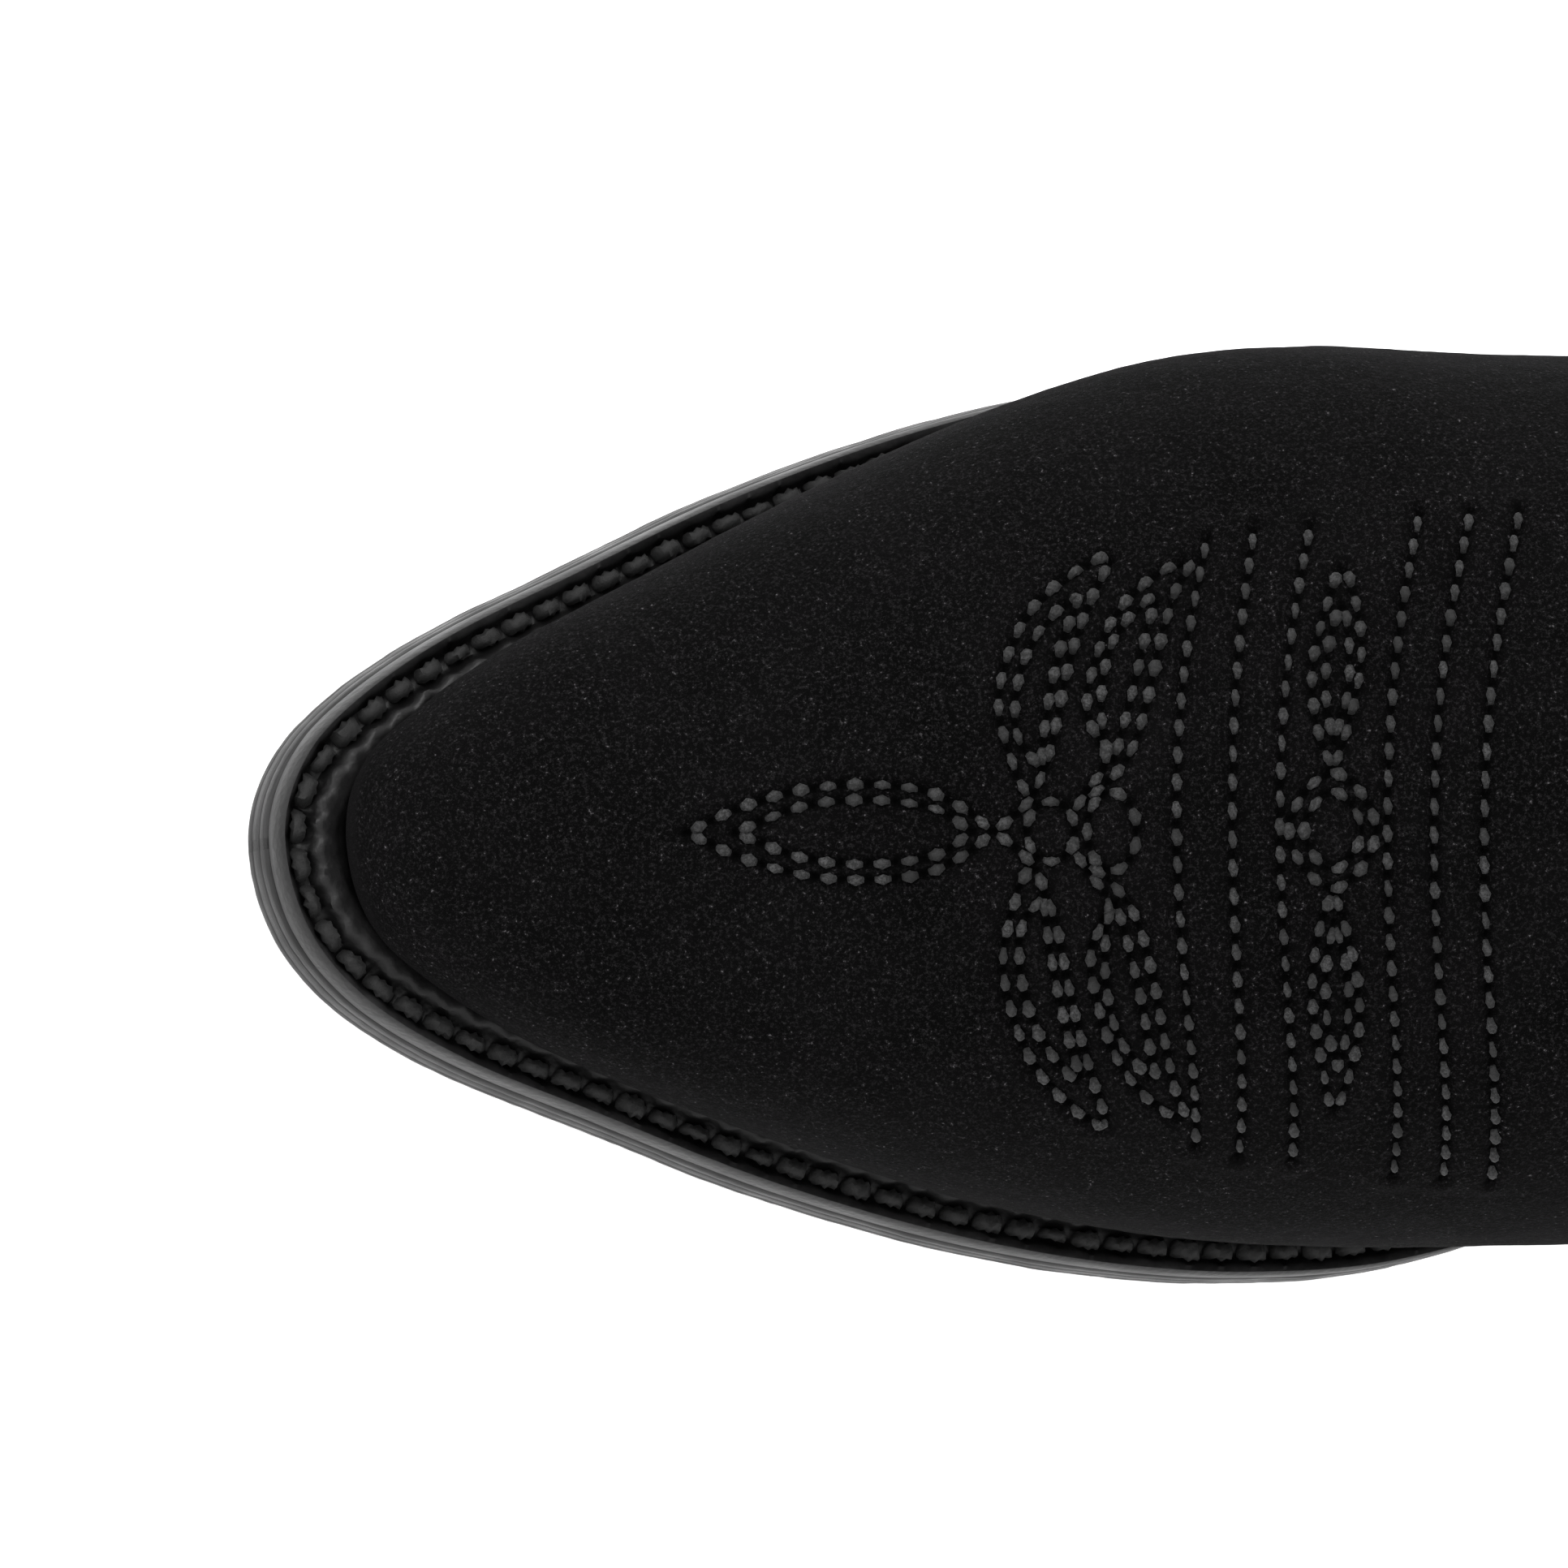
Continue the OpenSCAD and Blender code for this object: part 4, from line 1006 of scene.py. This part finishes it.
def make_heel():
    for i in range(1, LIFT_COUNT):
        low = HEEL_CAP_T + LIFT_T * (i - 1) + GAP / 4
        make_heel_layer(f"heel_layer_{i}", f"heel_lift_{i}", low, low + LIFT_T - GAP / 4, 0.28)
    low = HEEL_CAP_T + LIFT_T * (LIFT_COUNT - 1) + GAP / 4
    seat = sole_z(station(HEEL_T, 0, LENGTH)) - GAP / 2
    make_heel_layer("heel_layer_5", "heel_lift_5", low, seat, 0.25)
    make_heel_layer("heel_walking_cap", "heel_cap", 0, HEEL_CAP_T, 0.35, HEEL_RUBBER)


# ---------------------------------------------------------------------------------------------
# The upper
# ---------------------------------------------------------------------------------------------

LAYER_GAP = 0.6
PIPING_HALF = 0.9
# Reach of the blended normals at the toe, of the raised edge of a skin and of the search for stitches.
POLE_REACH = 0.012
EDGE_WIDTH = 1.9
SEARCH_REACH = 4.0
SEAM_GAP = 0.15
PIPING_START = VAMP_END + 0.38
BACK_REACH = 0.985


def symmetric(points):
    return [points, [(s, -y) for s, y in points]]


# Lines of the toe pattern, as (station, offset from the toe's axis). Each is drawn on both sides.
FRONT_LEAF = [
    (69.9, 3), (68.4, 6.7), (67.2, 12.3), (68.3, 17.8), (70.8, 22.6), (74.7, 26.2), (77.5, 27.5),
    (76.2, 24), (74.7, 19.8), (73.3, 14.3), (72.2, 8.9), (70.4, 3.8), (68.3, 1.4), (66.4, 0),
]
FRONT_LEAF_INNER = [
    (71.2, 6), (68.9, 9.4), (69.1, 14.9), (71.1, 19.9), (74.6, 23.4), (73.2, 18.6), (72, 13.4),
    (71.2, 8), (71.2, 6),
]
REAR_LEAF = [
    (73.9, 1.6), (75.4, 4), (77.2, 7), (75.5, 11.7), (76.3, 17), (78.3, 21.9), (81.6, 25.6), (84.6, 26.9),
    (83.4, 24), (82.2, 19.2), (81.2, 13.9), (79.8, 8.6), (77.9, 5.4), (75.2, 3),
]
REAR_LEAF_INNER = [
    (77.9, 7), (77, 9.1), (76.9, 14.6), (78.3, 19.8), (81.5, 23.4), (80.9, 20), (80, 15.4),
    (78.7, 9.8), (77.9, 7),
]
FRONT_LOOP = [(66.4, 0), (64.2, 1.9), (60.4, 3.9), (55, 4.6), (49, 4.1), (43.4, 2.4), (38.4, 0)]
FRONT_LOOP_INNER = [(64.4, 0), (61.2, 2.2), (55.2, 3.1), (49, 2.5), (42.8, 0)]
MIDDLE_LEAF = [
    (97.7, 5.8), (96.3, 10), (95.8, 15.7), (96.9, 21.5), (98.7, 26.2), (100.3, 20.5), (100.3, 15.5),
    (99.1, 10), (97.7, 5.8),
]
MIDDLE_LEAF_INNER = [
    (97.8, 8.8), (97.1, 13), (97.3, 18), (98.6, 22.4), (99.3, 18), (99.1, 13.2), (97.8, 8.8),
]
OUTLINES = (
    FRONT_LEAF, FRONT_LEAF_INNER, REAR_LEAF, REAR_LEAF_INNER, FRONT_LOOP, FRONT_LOOP_INNER,
    MIDDLE_LEAF, MIDDLE_LEAF_INNER,
)
# Wrinkle rows: (station on the axis, how far its ends lie back, its half length).
WRINKLES = [
    (83.5, 2.6, 29.5), (88.5, 1.8, 30.5), (92.8, 2.7, 30.8), (102.9, 3.6, 32.2), (107.6, 4.4, 32.4),
    (112.8, 4.8, 32.6),
]
# Ovals: (station of the centre, half length, half width, squareness).
OVALS = [(71.9, 2.3, 2.9, 1), (77.6, 2.3, 3.8, 1), (97.7, 4.1, 5.6, 1.25), (97.7, 2.7, 3.8, 1.25)]
LINE_STEP = 0.35
STITCH_PITCH = 2.75
STITCH_R = 0.3
BUG_R = 0.49
WRINKLE_R = 0.42
WRINKLE_SLANT = 0.12


def oval(centre, half_s, half_y, power):
    a = np.linspace(0, 2 * np.pi, 33)
    s = centre + half_s * np.sign(np.cos(a)) * np.abs(np.cos(a)) ** power
    return list(zip(s, half_y * np.sign(np.sin(a)) * np.abs(np.sin(a)) ** power))


def wrinkle(middle, lean, half):
    return [(middle + lean * (y / half) ** 2, y) for y in np.linspace(-half, half, 15)]


def bug_lines():
    lines = []
    for points in OUTLINES:
        lines += symmetric(points)
    return lines + [oval(*row) for row in OVALS]


def smooth_line(points, count):
    """Smooth curve through points, at count places spread evenly over their order."""
    return Curve([(i, *p) for i, p in enumerate(points)])(np.linspace(0, len(points) - 1, count))


def along_points(points):
    """Dense smooth line through points, spaced evenly by length."""
    dense = smooth_line(points, 40 * len(points))
    run = lengths_along(dense)
    return at_lengths(dense, run, np.linspace(0, run[-1], int(run[-1] / LINE_STEP)))


# How the pattern lies on the last: it shortens over the rising instep, its rows bow back towards the
# sides, and its axis turns to the medial side.
PATTERN_SCALE = 0.968
PATTERN_SHIFT = -1.7
PATTERN_BOW = 0.0047
PATTERN_WIDTH = 0.97
PATTERN_TURN = 0.053


def pattern_place(s, y):
    at = PATTERN_SCALE * s + PATTERN_SHIFT + PATTERN_BOW * y * y
    return at, PATTERN_WIDTH * y - PATTERN_TURN * at


def on_vamp(s, y):
    """Measures u and q of a point of the vamp, from its station and its offset."""
    u = feather_measure(s)
    y = y * np.ones_like(u)
    full = np.where(y >= 0, fullness(u)[..., 0], fullness(u)[..., 1])
    end = np.where(y >= 0, foot_angles(u, 0), foot_angles(u, 1))
    sharp = SHARP_CURVE(u)[..., 0]
    angle = np.arcsin(np.clip(np.abs(y) / full, 0, 1) ** (1 / sharp))
    return u, np.sign(y) * angle / end


def surface_path(u, q, height):
    """Points at a height above the surface."""
    height = height + np.zeros(np.broadcast(u, q).shape)
    return upper_point(u, q) + outward(u, q) * height[..., None]


def surface_line(u, q, height):
    """Path of a row of stitches, and the surface's normals along it."""
    return surface_path(u, q, height), outward(u, q)


def toe_path(line):
    dense = along_points(line)
    return surface_line(*on_vamp(*pattern_place(dense[:, 0], dense[:, 1])), UPPER_T)


def tree_of(points):
    tree = KDTree(len(points))
    for i, p in enumerate(points):
        tree.insert(p, i)
    tree.balance()
    return tree


def nearest(tree, points, reach):
    """Distance from each point to the nearest of a tree, or reach where it is further."""
    flat = points.reshape(-1, 3)
    found = np.full(len(flat), reach, float)
    for i, p in enumerate(flat):
        found[i] = min(reach, tree.find(p)[2])
    return found.reshape(points.shape[:-1])


def nap_relief(points, amount):
    """Soft unevenness of a suede skin, in millimetres."""
    fine = 0.06 * noise(points, 5, 22) + 0.035 * noise(points, 1.4, 23)
    return amount * (0.22 * noise(points, 26, 21) + fine)


def skin_piece(
    name, measures, material, slot, node, lift=0.0, thickness=UPPER_T, low=0.0, sewn=None, relief=1.0
):
    """Sheet of leather over the surface, dented along its stitch lines.

    lift is added to low, the height of the sheet's inner face. sewn holds the points of the stitch lines
    and of the needle holes.
    """
    u, q = measures
    foot = lift + low + np.zeros(u.shape)
    base = upper_point(u, q)
    # All the normals meet at the pole of the toe.
    normal = outward(u, q)
    normal = unit(mix(normal[0].mean(axis=0), normal, ease(u / POLE_REACH)[..., None]))
    top = base + normal * (foot + thickness)[..., None]
    flow = flow_of(top)
    width = flow[:, -1:, 1]
    margin = np.minimum(flow[..., 1], width - flow[..., 1])
    edge = np.exp(-((margin / EDGE_WIDTH) ** 2))
    raised = nap_relief(top, relief) * (1 - edge) + 0.3 * edge
    painted_shade = np.zeros(u.shape)
    if sewn:
        line_gap, hole_gap = [nearest(tree_of(points), top, SEARCH_REACH) for points in sewn]
        raised -= 0.3 * np.exp(-((line_gap / 0.6) ** 2)) + 0.5 * np.exp(-((hole_gap / 0.42) ** 2))
        raised += 0.22 * np.exp(-(((line_gap - 1.7) / 1.0) ** 2))
        # Painted shade: the colour goes near black in the needle holes and darker along the stitch lines.
        painted_shade = np.exp(-((hole_gap / 0.5) ** 2)) + 0.35 * np.exp(-((line_gap / 0.65) ** 2))
    outer = top + normal * raised[..., None]
    inner = base + normal * foot[..., None]
    ring = ring_of(*u.shape)
    values = {
        "edge": np.concatenate([edge.ravel(), edge.ravel(), *[edge.ravel()[ring]] * EDGE_ARC]),
        "painted_shade": np.concatenate([np.clip(painted_shade, 0, 1).ravel(), np.zeros(u.size + EDGE_ARC * len(ring))]),
    }
    parts = Parts().add(*shell_parts(outer, inner, flow))
    piece(name, parts, material, replaces=[node], sharp=70, values=values)


# Most of the vamp's rows lie before its waist, where the pattern is.
VAMP_NOSE = 0.0004
VAMP_WAIST = 0.5
VAMP_SPLIT = 0.84


def unit_grid(rows, columns):
    """Shares of a grid: k from -1 to 1 along its columns, and r from 0 to 1 along its rows."""
    return np.linspace(-1, 1, columns)[None], np.linspace(0, 1, rows)[:, None]


def sew(rows):
    """Sews rows of (parts, path, normal, settings) and returns all their lines and needle holes."""
    holes = [stitches(parts, path, normal, STITCH_PITCH, **look) for parts, path, normal, look in rows]
    return np.concatenate([path for _, path, _, _ in rows]), np.concatenate(holes)


def vamp_measures():
    q, r = unit_grid(520, 340)
    before = mix(VAMP_NOSE, VAMP_WAIST, r / VAMP_SPLIT)
    behind = mix(VAMP_WAIST, vamp_edge(q), (r - VAMP_SPLIT) / (1 - VAMP_SPLIT))
    return np.broadcast_arrays(np.where(r < VAMP_SPLIT, before, behind), q)


def make_vamp():
    parts = Parts()
    pattern = {"radius": BUG_R, "fill": 0.62}
    wrinkled = {"radius": WRINKLE_R, "fill": 0.62, "slant": WRINKLE_SLANT}
    rows = [(parts, *toe_path(line), pattern) for line in bug_lines()]
    rows += [(parts, *toe_path(wrinkle(*row)), wrinkled) for row in WRINKLES]
    sewn = sew(rows)
    piece("toe_stitching", parts, TONAL_THREAD)
    u, q = vamp_measures()
    skin_piece("vamp_suede", (u, q), BLACK_SUEDE, "black_suede", "vamp", lap_lift(u, q), sewn=sewn)


def heel_turn(u, k):
    """Measure q at the share k of the way from the back of the heel to the side seam."""
    return 1 - (1 - seam(u)) * np.abs(k)


def heel_measures(rows, columns):
    """Measures u and q of the counter: k runs round the heel and r up it."""
    k, r = unit_grid(rows, columns)
    turn = np.abs(k)
    foot_u = mix(1, VAMP_END, turn)
    edge_u = counter_edge(k)
    shift = mix(0.002, -0.016, ease((r - 0.4) / 0.3)) * turn**8
    return mix(foot_u, edge_u, r) + shift, np.where(k >= 0, 1, -1) * mix(1, heel_turn(edge_u, k), r)


def front_start(q):
    """Lower edge of the front panel, under the vamp's lap."""
    return u_moved(vamp_edge(q), q, LAP, VAMP_END - 0.1)


def back_start(k):
    """Lower edge of the back panel, just above the counter."""
    e = counter_edge(k * BACK_REACH)
    return np.maximum(1, u_moved(e, heel_turn(e, k), SEAM_GAP, e + 0.3))


def front_measures(rows, columns, seam_gap):
    k, r = unit_grid(rows, columns)
    u = mix(front_start(k * SEAM_LOW), SHAFT_TOP, r)
    gap = mix(SEAM_GAP, seam_gap, ease((u - PIPING_START) / 0.02 + 1))
    return u, k * (seam(u) - q_for(u, seam(u), gap))


def back_measures(rows, columns, seam_gap):
    k, r = unit_grid(rows, columns)
    u = mix(back_start(k), SHAFT_TOP, r)
    edge = seam(u) + q_for(u, seam(u), seam_gap)
    return u, np.where(k >= 0, -1, 1) * (1 - (1 - edge) * np.abs(k))


# Shaft pattern on one quarter: (measure up the shaft, share of the way from the middle to the seam).
SHAFT_FLAME = [(2.12, 0), (2.2, 0.3), (2.36, 0.55), (2.52, 0.66), (2.66, 0.52), (2.76, 0.24), (2.83, 0)]
SHAFT_HEART = [(2.3, 0), (2.38, 0.24), (2.48, 0.36), (2.57, 0.28), (2.63, 0.12), (2.66, 0)]
SHAFT_ROWS = (0, 0.06, 0.12)
SHAFT_MIDDLE = 2.46
# Insets of the stitch rows along the vamp, the counter and the side seams.
VAMP_ROW_INSETS = (1.8, 4.0)
COUNTER_ROW_INSETS = (1.6, 3.8)
SEAM_ROW_INSETS = (-2.9, 2.9)


def shaft_line(points, inset, side, front):
    """One line of the shaft's pattern, on one side of the front or the back panel."""
    u, share = smooth_line(points, 500).T
    inside = share >= inset
    u, share = u[inside], share[inside]
    # Near the middle the inner rows also draw in towards the pattern's centre.
    u = u + inset * 0.4 * np.sign(SHAFT_MIDDLE - u) * (1 - np.minimum(1, share * 2))
    share = share - inset
    q = share * seam(u) if front else 1 - share * (1 - seam(u))
    return surface_line(u, side * q, UPPER_T)


def shaft_lines():
    """Nested flowing lines on the front and the back panel."""
    return [
        shaft_line(points, inset, side, front)
        for front in (True, False)
        for points in (SHAFT_FLAME, SHAFT_HEART)
        for inset in SHAFT_ROWS
        for side in (1, -1)
    ]


def seam_rows():
    """Stitch rows beside the seams: (path, normal)."""
    rows = []
    q = np.linspace(-0.93, 0.93, 900)
    for inset in VAMP_ROW_INSETS:
        u = u_moved(vamp_edge(q), q, inset, VAMP_END - 0.1)
        rows.append(surface_line(u, q, UPPER_T + lap_lift(u, q)))
    k = np.linspace(-0.93, 0.93, 600)
    for inset in COUNTER_ROW_INSETS:
        e = counter_edge(k)
        q = np.where(k >= 0, 1, -1) * heel_turn(e, k)
        rows.append(surface_line(u_moved(e, q, inset, VAMP_END - 0.2), q, UPPER_T))
    u = np.linspace(PIPING_START, 2.94, 900)
    for side in (1, -1):
        for inset in SEAM_ROW_INSETS:
            rows.append(surface_line(u, side * (seam(u) + q_for(u, seam(u), inset)), UPPER_T))
    return rows


def make_shaft():
    decor = Parts()
    seams = Parts()
    plain = {"radius": STITCH_R}
    rows = [(decor, *line, plain) for line in shaft_lines()]
    rows += [(seams, *line, plain) for line in seam_rows()]
    sewn = sew(rows)
    piece("shaft_stitching", decor, TONAL_THREAD)
    piece("seam_stitching", seams, TONAL_THREAD)
    gap = PIPING_HALF + GAP
    front = front_measures(330, 220, gap)
    skin_piece("shaft_front_suede", front, SHAFT_SUEDE, "black_suede", "shaft_front", sewn=sewn)
    back = back_measures(300, 220, gap)
    skin_piece("shaft_back_suede", back, SHAFT_SUEDE, "black_suede", "shaft_back", sewn=sewn)
    heel = heel_measures(150, 260)
    skin_piece("counter_suede", heel, BLACK_SUEDE, "black_suede", "heel_counter", sewn=sewn)
    lining = {"thickness": LINING_T, "low": -LAYER_GAP - LINING_T, "relief": 0.5}
    front = front_measures(90, 80, GAP)
    skin_piece("front_lining", front, LINING_LEATHER, "lining_leather", "shaft_lining_front", **lining)
    u, q = back_measures(90, 80, GAP)
    back = (u + 0.02 * (SHAFT_TOP - u), q)
    skin_piece("back_lining", back, LINING_LEATHER, "lining_leather", "shaft_lining_back", **lining)


BINDING_DROP = 8
BINDING_T = 1
BINDING_OUT = UPPER_T + LAYER_GAP / 2
BINDING_IN = -2 * LAYER_GAP - LINING_T
BEAD_R = 1.35
BEAD_RISE = 1.15
BEAD_MIDDLE = 1.75


def rounded_fold():
    """Section of the top binding: (distance from the surface, height above the topline)."""
    middle = (BINDING_OUT + BINDING_IN) / 2
    half = (BINDING_OUT - BINDING_IN) / 2
    turn = np.linspace(0, np.pi, 13)
    outer = [(middle + (half + BINDING_T) * math.cos(a), (BINDING_T + GAP) * math.sin(a)) for a in turn]
    inner = [(middle + half * math.cos(a), GAP * math.sin(a)) for a in turn[::-1]]
    lip = [(0, 0), (0.45, -0.2), (0.95, 0.3)]
    out_edge = [(BINDING_OUT + x, z - BINDING_DROP) for x, z in lip]
    in_edge = [(BINDING_IN - x, z - BINDING_DROP) for x, z in lip[::-1]]
    return out_edge + outer + in_edge + inner


def make_binding():
    q = np.linspace(-1, 1, 500, endpoint=False)
    u = SHAFT_TOP + 0 * q
    out = outward(u, q)
    up = unit(along(u, q))
    base = upper_point(u, q)
    section = rounded_fold()
    rings = np.stack([base + d * out + h * up for d, h in section], axis=1)
    flow = flow_grid(lengths_along(base), np.linspace(0, 24, len(section)))
    parts = Parts().add(*sweep_parts(rings, flow, looped=True))
    piece("topline_binding", parts, TRIM_LEATHER, replaces=["top_binding"], sharp=60)
    rows = Parts()
    path = base + (BINDING_OUT + BINDING_T) * out - (BINDING_DROP - 1.6) * up
    path = np.concatenate([path, path[:1]])
    stitches(rows, path, np.concatenate([out, out[:1]]), STITCH_PITCH, STITCH_R)
    piece("binding_stitching", rows, TONAL_THREAD)


def piping_section():
    """Bead on a narrow foot: (distance across the seam, height above the surface)."""
    turn = np.linspace(1.25 * np.pi, -0.25 * np.pi, 15)
    bead = [(BEAD_R * math.cos(a), BEAD_MIDDLE + BEAD_RISE * math.sin(a)) for a in turn]
    return [(-PIPING_HALF, 0), *bead, (PIPING_HALF, 0)][::-1]


def make_piping():
    end = SHAFT_TOP - (BINDING_DROP + 1) / (SHAFT_HEIGHT - ANKLE)
    u = np.linspace(PIPING_START, end, 300)
    section = piping_section()
    for side, label in ((1, "lateral"), (-1, "medial")):
        q = side * seam(u)
        out = outward(u, q)
        base = upper_point(u, q)
        across = unit(np.cross(out, along(u, q)))
        rings = np.stack([base + x * across + h * out for x, h in section], axis=1)
        flow = flow_grid(lengths_along(base), np.linspace(0, 9, len(section)))
        parts = Parts().add(*sweep_parts(rings, flow))
        node = f"side_piping_{label}"
        piece(f"piping_{label}", parts, TRIM_LEATHER, replaces=[node], sharp=60)


STRAP_W = 24
STRAP_T = 1.7
STRAP_LEG = 62
LOOP_H = 22
LOOP_BASE = 3.2
LOOP_HALF = 7.5
OUTER_LEG = 3.4
INNER_LEG = -3.6 - STRAP_T
INNER_SHARE = 0.7
ROW_INSET = 2
STRAP_K = np.linspace(-1, 1, 31)


def loop_line():
    """Centre line of the standing loop: (distance from the wall, height above the topline)."""
    rise = Curve([(0, 4.3, LOOP_BASE), (0.35, 5.6, LOOP_BASE + 4), (1, LOOP_HALF, LOOP_H - LOOP_HALF)])
    side = rise(np.linspace(0, 1, 18))
    turn = np.radians(np.linspace(0, 180, 38))[1:-1]
    top = np.stack([LOOP_HALF * np.cos(turn), LOOP_H - LOOP_HALF + LOOP_HALF * np.sin(turn)], axis=-1)
    return np.concatenate([side, top, side[::-1] * np.array([-1, 1])])


def strap_q(side, u, share, inset=0):
    """Measure q across a strap: share runs from -1 to 1 between its edges."""
    return side * (SEAM_HIGH + share * q_for(u, SEAM_HIGH, STRAP_W / 2 - inset))


def strap_u(length):
    """Measure u at a length below the topline."""
    return SHAFT_TOP - length / (SHAFT_HEIGHT - ANKLE)


def strap_leg(side, length, height):
    """Middle of a strap's leg on the wall of the shaft, from its lower end up."""
    u = np.linspace(strap_u(length), strap_u(1), 60)[:, None]
    return surface_path(u, strap_q(side, u, STRAP_K[None]), height + STRAP_T / 2)


def strap_middle(side, fold):
    """Middle of the strap: up its outer leg, over the standing loop and down its inner leg."""
    loop = loop_line()
    standing = (fold[0] + STRAP_K[None] * STRAP_W / 2, fold[1] + side * loop[:, :1], fold[2] + loop[:, 1:])
    return np.concatenate([
        strap_leg(side, STRAP_LEG, OUTER_LEG),
        np.stack(np.broadcast_arrays(*standing), axis=-1),
        strap_leg(side, INNER_SHARE * STRAP_LEG, INNER_LEG)[::-1],
    ])


def make_strap(side, label):
    fold = upper_point(SHAFT_TOP, side * SEAM_HIGH)
    middle = strap_middle(side, fold)[:, ::side]
    normal = unit(np.cross(np.gradient(middle, axis=0), np.gradient(middle, axis=1)))
    outer = middle + normal * (STRAP_T / 2 + 0.05 * noise(middle, 4, 31))[..., None]
    inner = middle - normal * STRAP_T / 2
    parts = Parts().add(*shell_parts(outer, inner, flow_of(middle)))
    nodes = [f"strap_legs_{label}", f"strap_loop_{label}"]
    obj = piece(
        f"pull_strap_{label}", parts, STRAP_LEATHER, replaces=nodes, sharp=60, rides=False
    )
    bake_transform(obj)
    rows = Parts()
    u = np.linspace(strap_u(STRAP_LEG - ROW_INSET), strap_u(3), 120)
    low = u[:1] + 0 * STRAP_K
    for at, share in ((u, -1), (u, 1), (low, STRAP_K)):
        path = surface_line(at, strap_q(side, at, share, ROW_INSET), OUTER_LEG + STRAP_T)
        stitches(rows, *path, STITCH_PITCH, STITCH_R)
    piece(f"strap_stitching_{label}", rows, TONAL_THREAD)


# ---------------------------------------------------------------------------------------------
# Studio
# ---------------------------------------------------------------------------------------------

VIEW_ELEVATION = math.radians(65.1)
VIEW_TILT = math.radians(4.9)
VIEW_ROLL = math.radians(-3.2)
VIEW_DISTANCE = 0.9
VIEW_TARGET = Vector((-0.2032, 0.0007, 0.0395))
VIEW_LENS = 212.6
LIGHT_TARGET = Vector((-0.15, 0, 0.05))
FLOOR_REACH = 6


def make_camera():
    camera = bpy.data.cameras.new("camera")
    camera.lens = VIEW_LENS
    camera.sensor_width = 36
    camera.clip_start = 0.01
    obj = bpy.data.objects.new("camera", camera)
    bpy.context.scene.collection.objects.link(obj)
    towards = Vector((
        -math.cos(VIEW_ELEVATION) * math.cos(VIEW_TILT),
        -math.sin(VIEW_TILT),
        math.sin(VIEW_ELEVATION) * math.cos(VIEW_TILT),
    ))
    right = Vector((math.sin(VIEW_ELEVATION), 0, math.cos(VIEW_ELEVATION)))
    up = towards.cross(right)
    frame_x = right * math.cos(VIEW_ROLL) + up * math.sin(VIEW_ROLL)
    frame_y = up * math.cos(VIEW_ROLL) - right * math.sin(VIEW_ROLL)
    obj.location = VIEW_TARGET + towards * VIEW_DISTANCE
    obj.rotation_euler = Matrix((frame_x, frame_y, towards)).transposed().to_euler()
    bpy.context.scene.camera = obj


def area_light(name, location, size, power):
    light = bpy.data.lights.new(name, "AREA")
    light.shape = "RECTANGLE"
    light.size, light.size_y = size
    light.energy = power
    obj = bpy.data.objects.new(name, light)
    bpy.context.scene.collection.objects.link(obj)
    obj.location = location
    aim = LIGHT_TARGET - Vector(location)
    obj.rotation_euler = aim.to_track_quat("-Z", "Y").to_euler()


def make_floor():
    mesh = bpy.data.meshes.new("floor")
    corners = ((-1, -1), (1, -1), (1, 1), (-1, 1))
    points = [(x * FLOOR_REACH, y * FLOOR_REACH, CAD_BOX[0][2]) for x, y in corners]
    mesh.from_pydata(points, [], [(0, 1, 2, 3)])
    shader = Shader("studio_floor", 0.9, 0.1)
    shader.colour(shader.blend(shader.noise(400, 2), (0.9, 0.9, 0.9), (0.92, 0.92, 0.92)))
    shader.surface.inputs["Emission Color"].default_value = (1, 1, 1, 1)
    shader.surface.inputs["Emission Strength"].default_value = 0.5
    mesh.materials.append(shader.material)
    obj = bpy.data.objects.new("floor", mesh)
    bpy.context.scene.collection.objects.link(obj)


def make_studio():
    make_camera()
    make_floor()
    world = bpy.data.worlds.new("studio")
    world.use_nodes = True
    world.node_tree.nodes["Background"].inputs["Color"].default_value = (1, 1, 1, 1)
    world.node_tree.nodes["Background"].inputs["Strength"].default_value = 1.15
    bpy.context.scene.world = world
    area_light("key", (-0.3, 0.9, 1.3), (0.9, 0.7), 14)
    area_light("toe_fill", (-1.2, 0.1, 0.7), (0.8, 0.6), 4.5)
    bpy.context.scene.view_settings.view_transform = "Standard"


finish_nodes()
make_outsole()
make_welt()
make_welt_stitching()
make_rand()
make_heel()
make_vamp()
make_shaft()
make_binding()
make_piping()
make_strap(1, "lateral")
make_strap(-1, "medial")
make_studio()
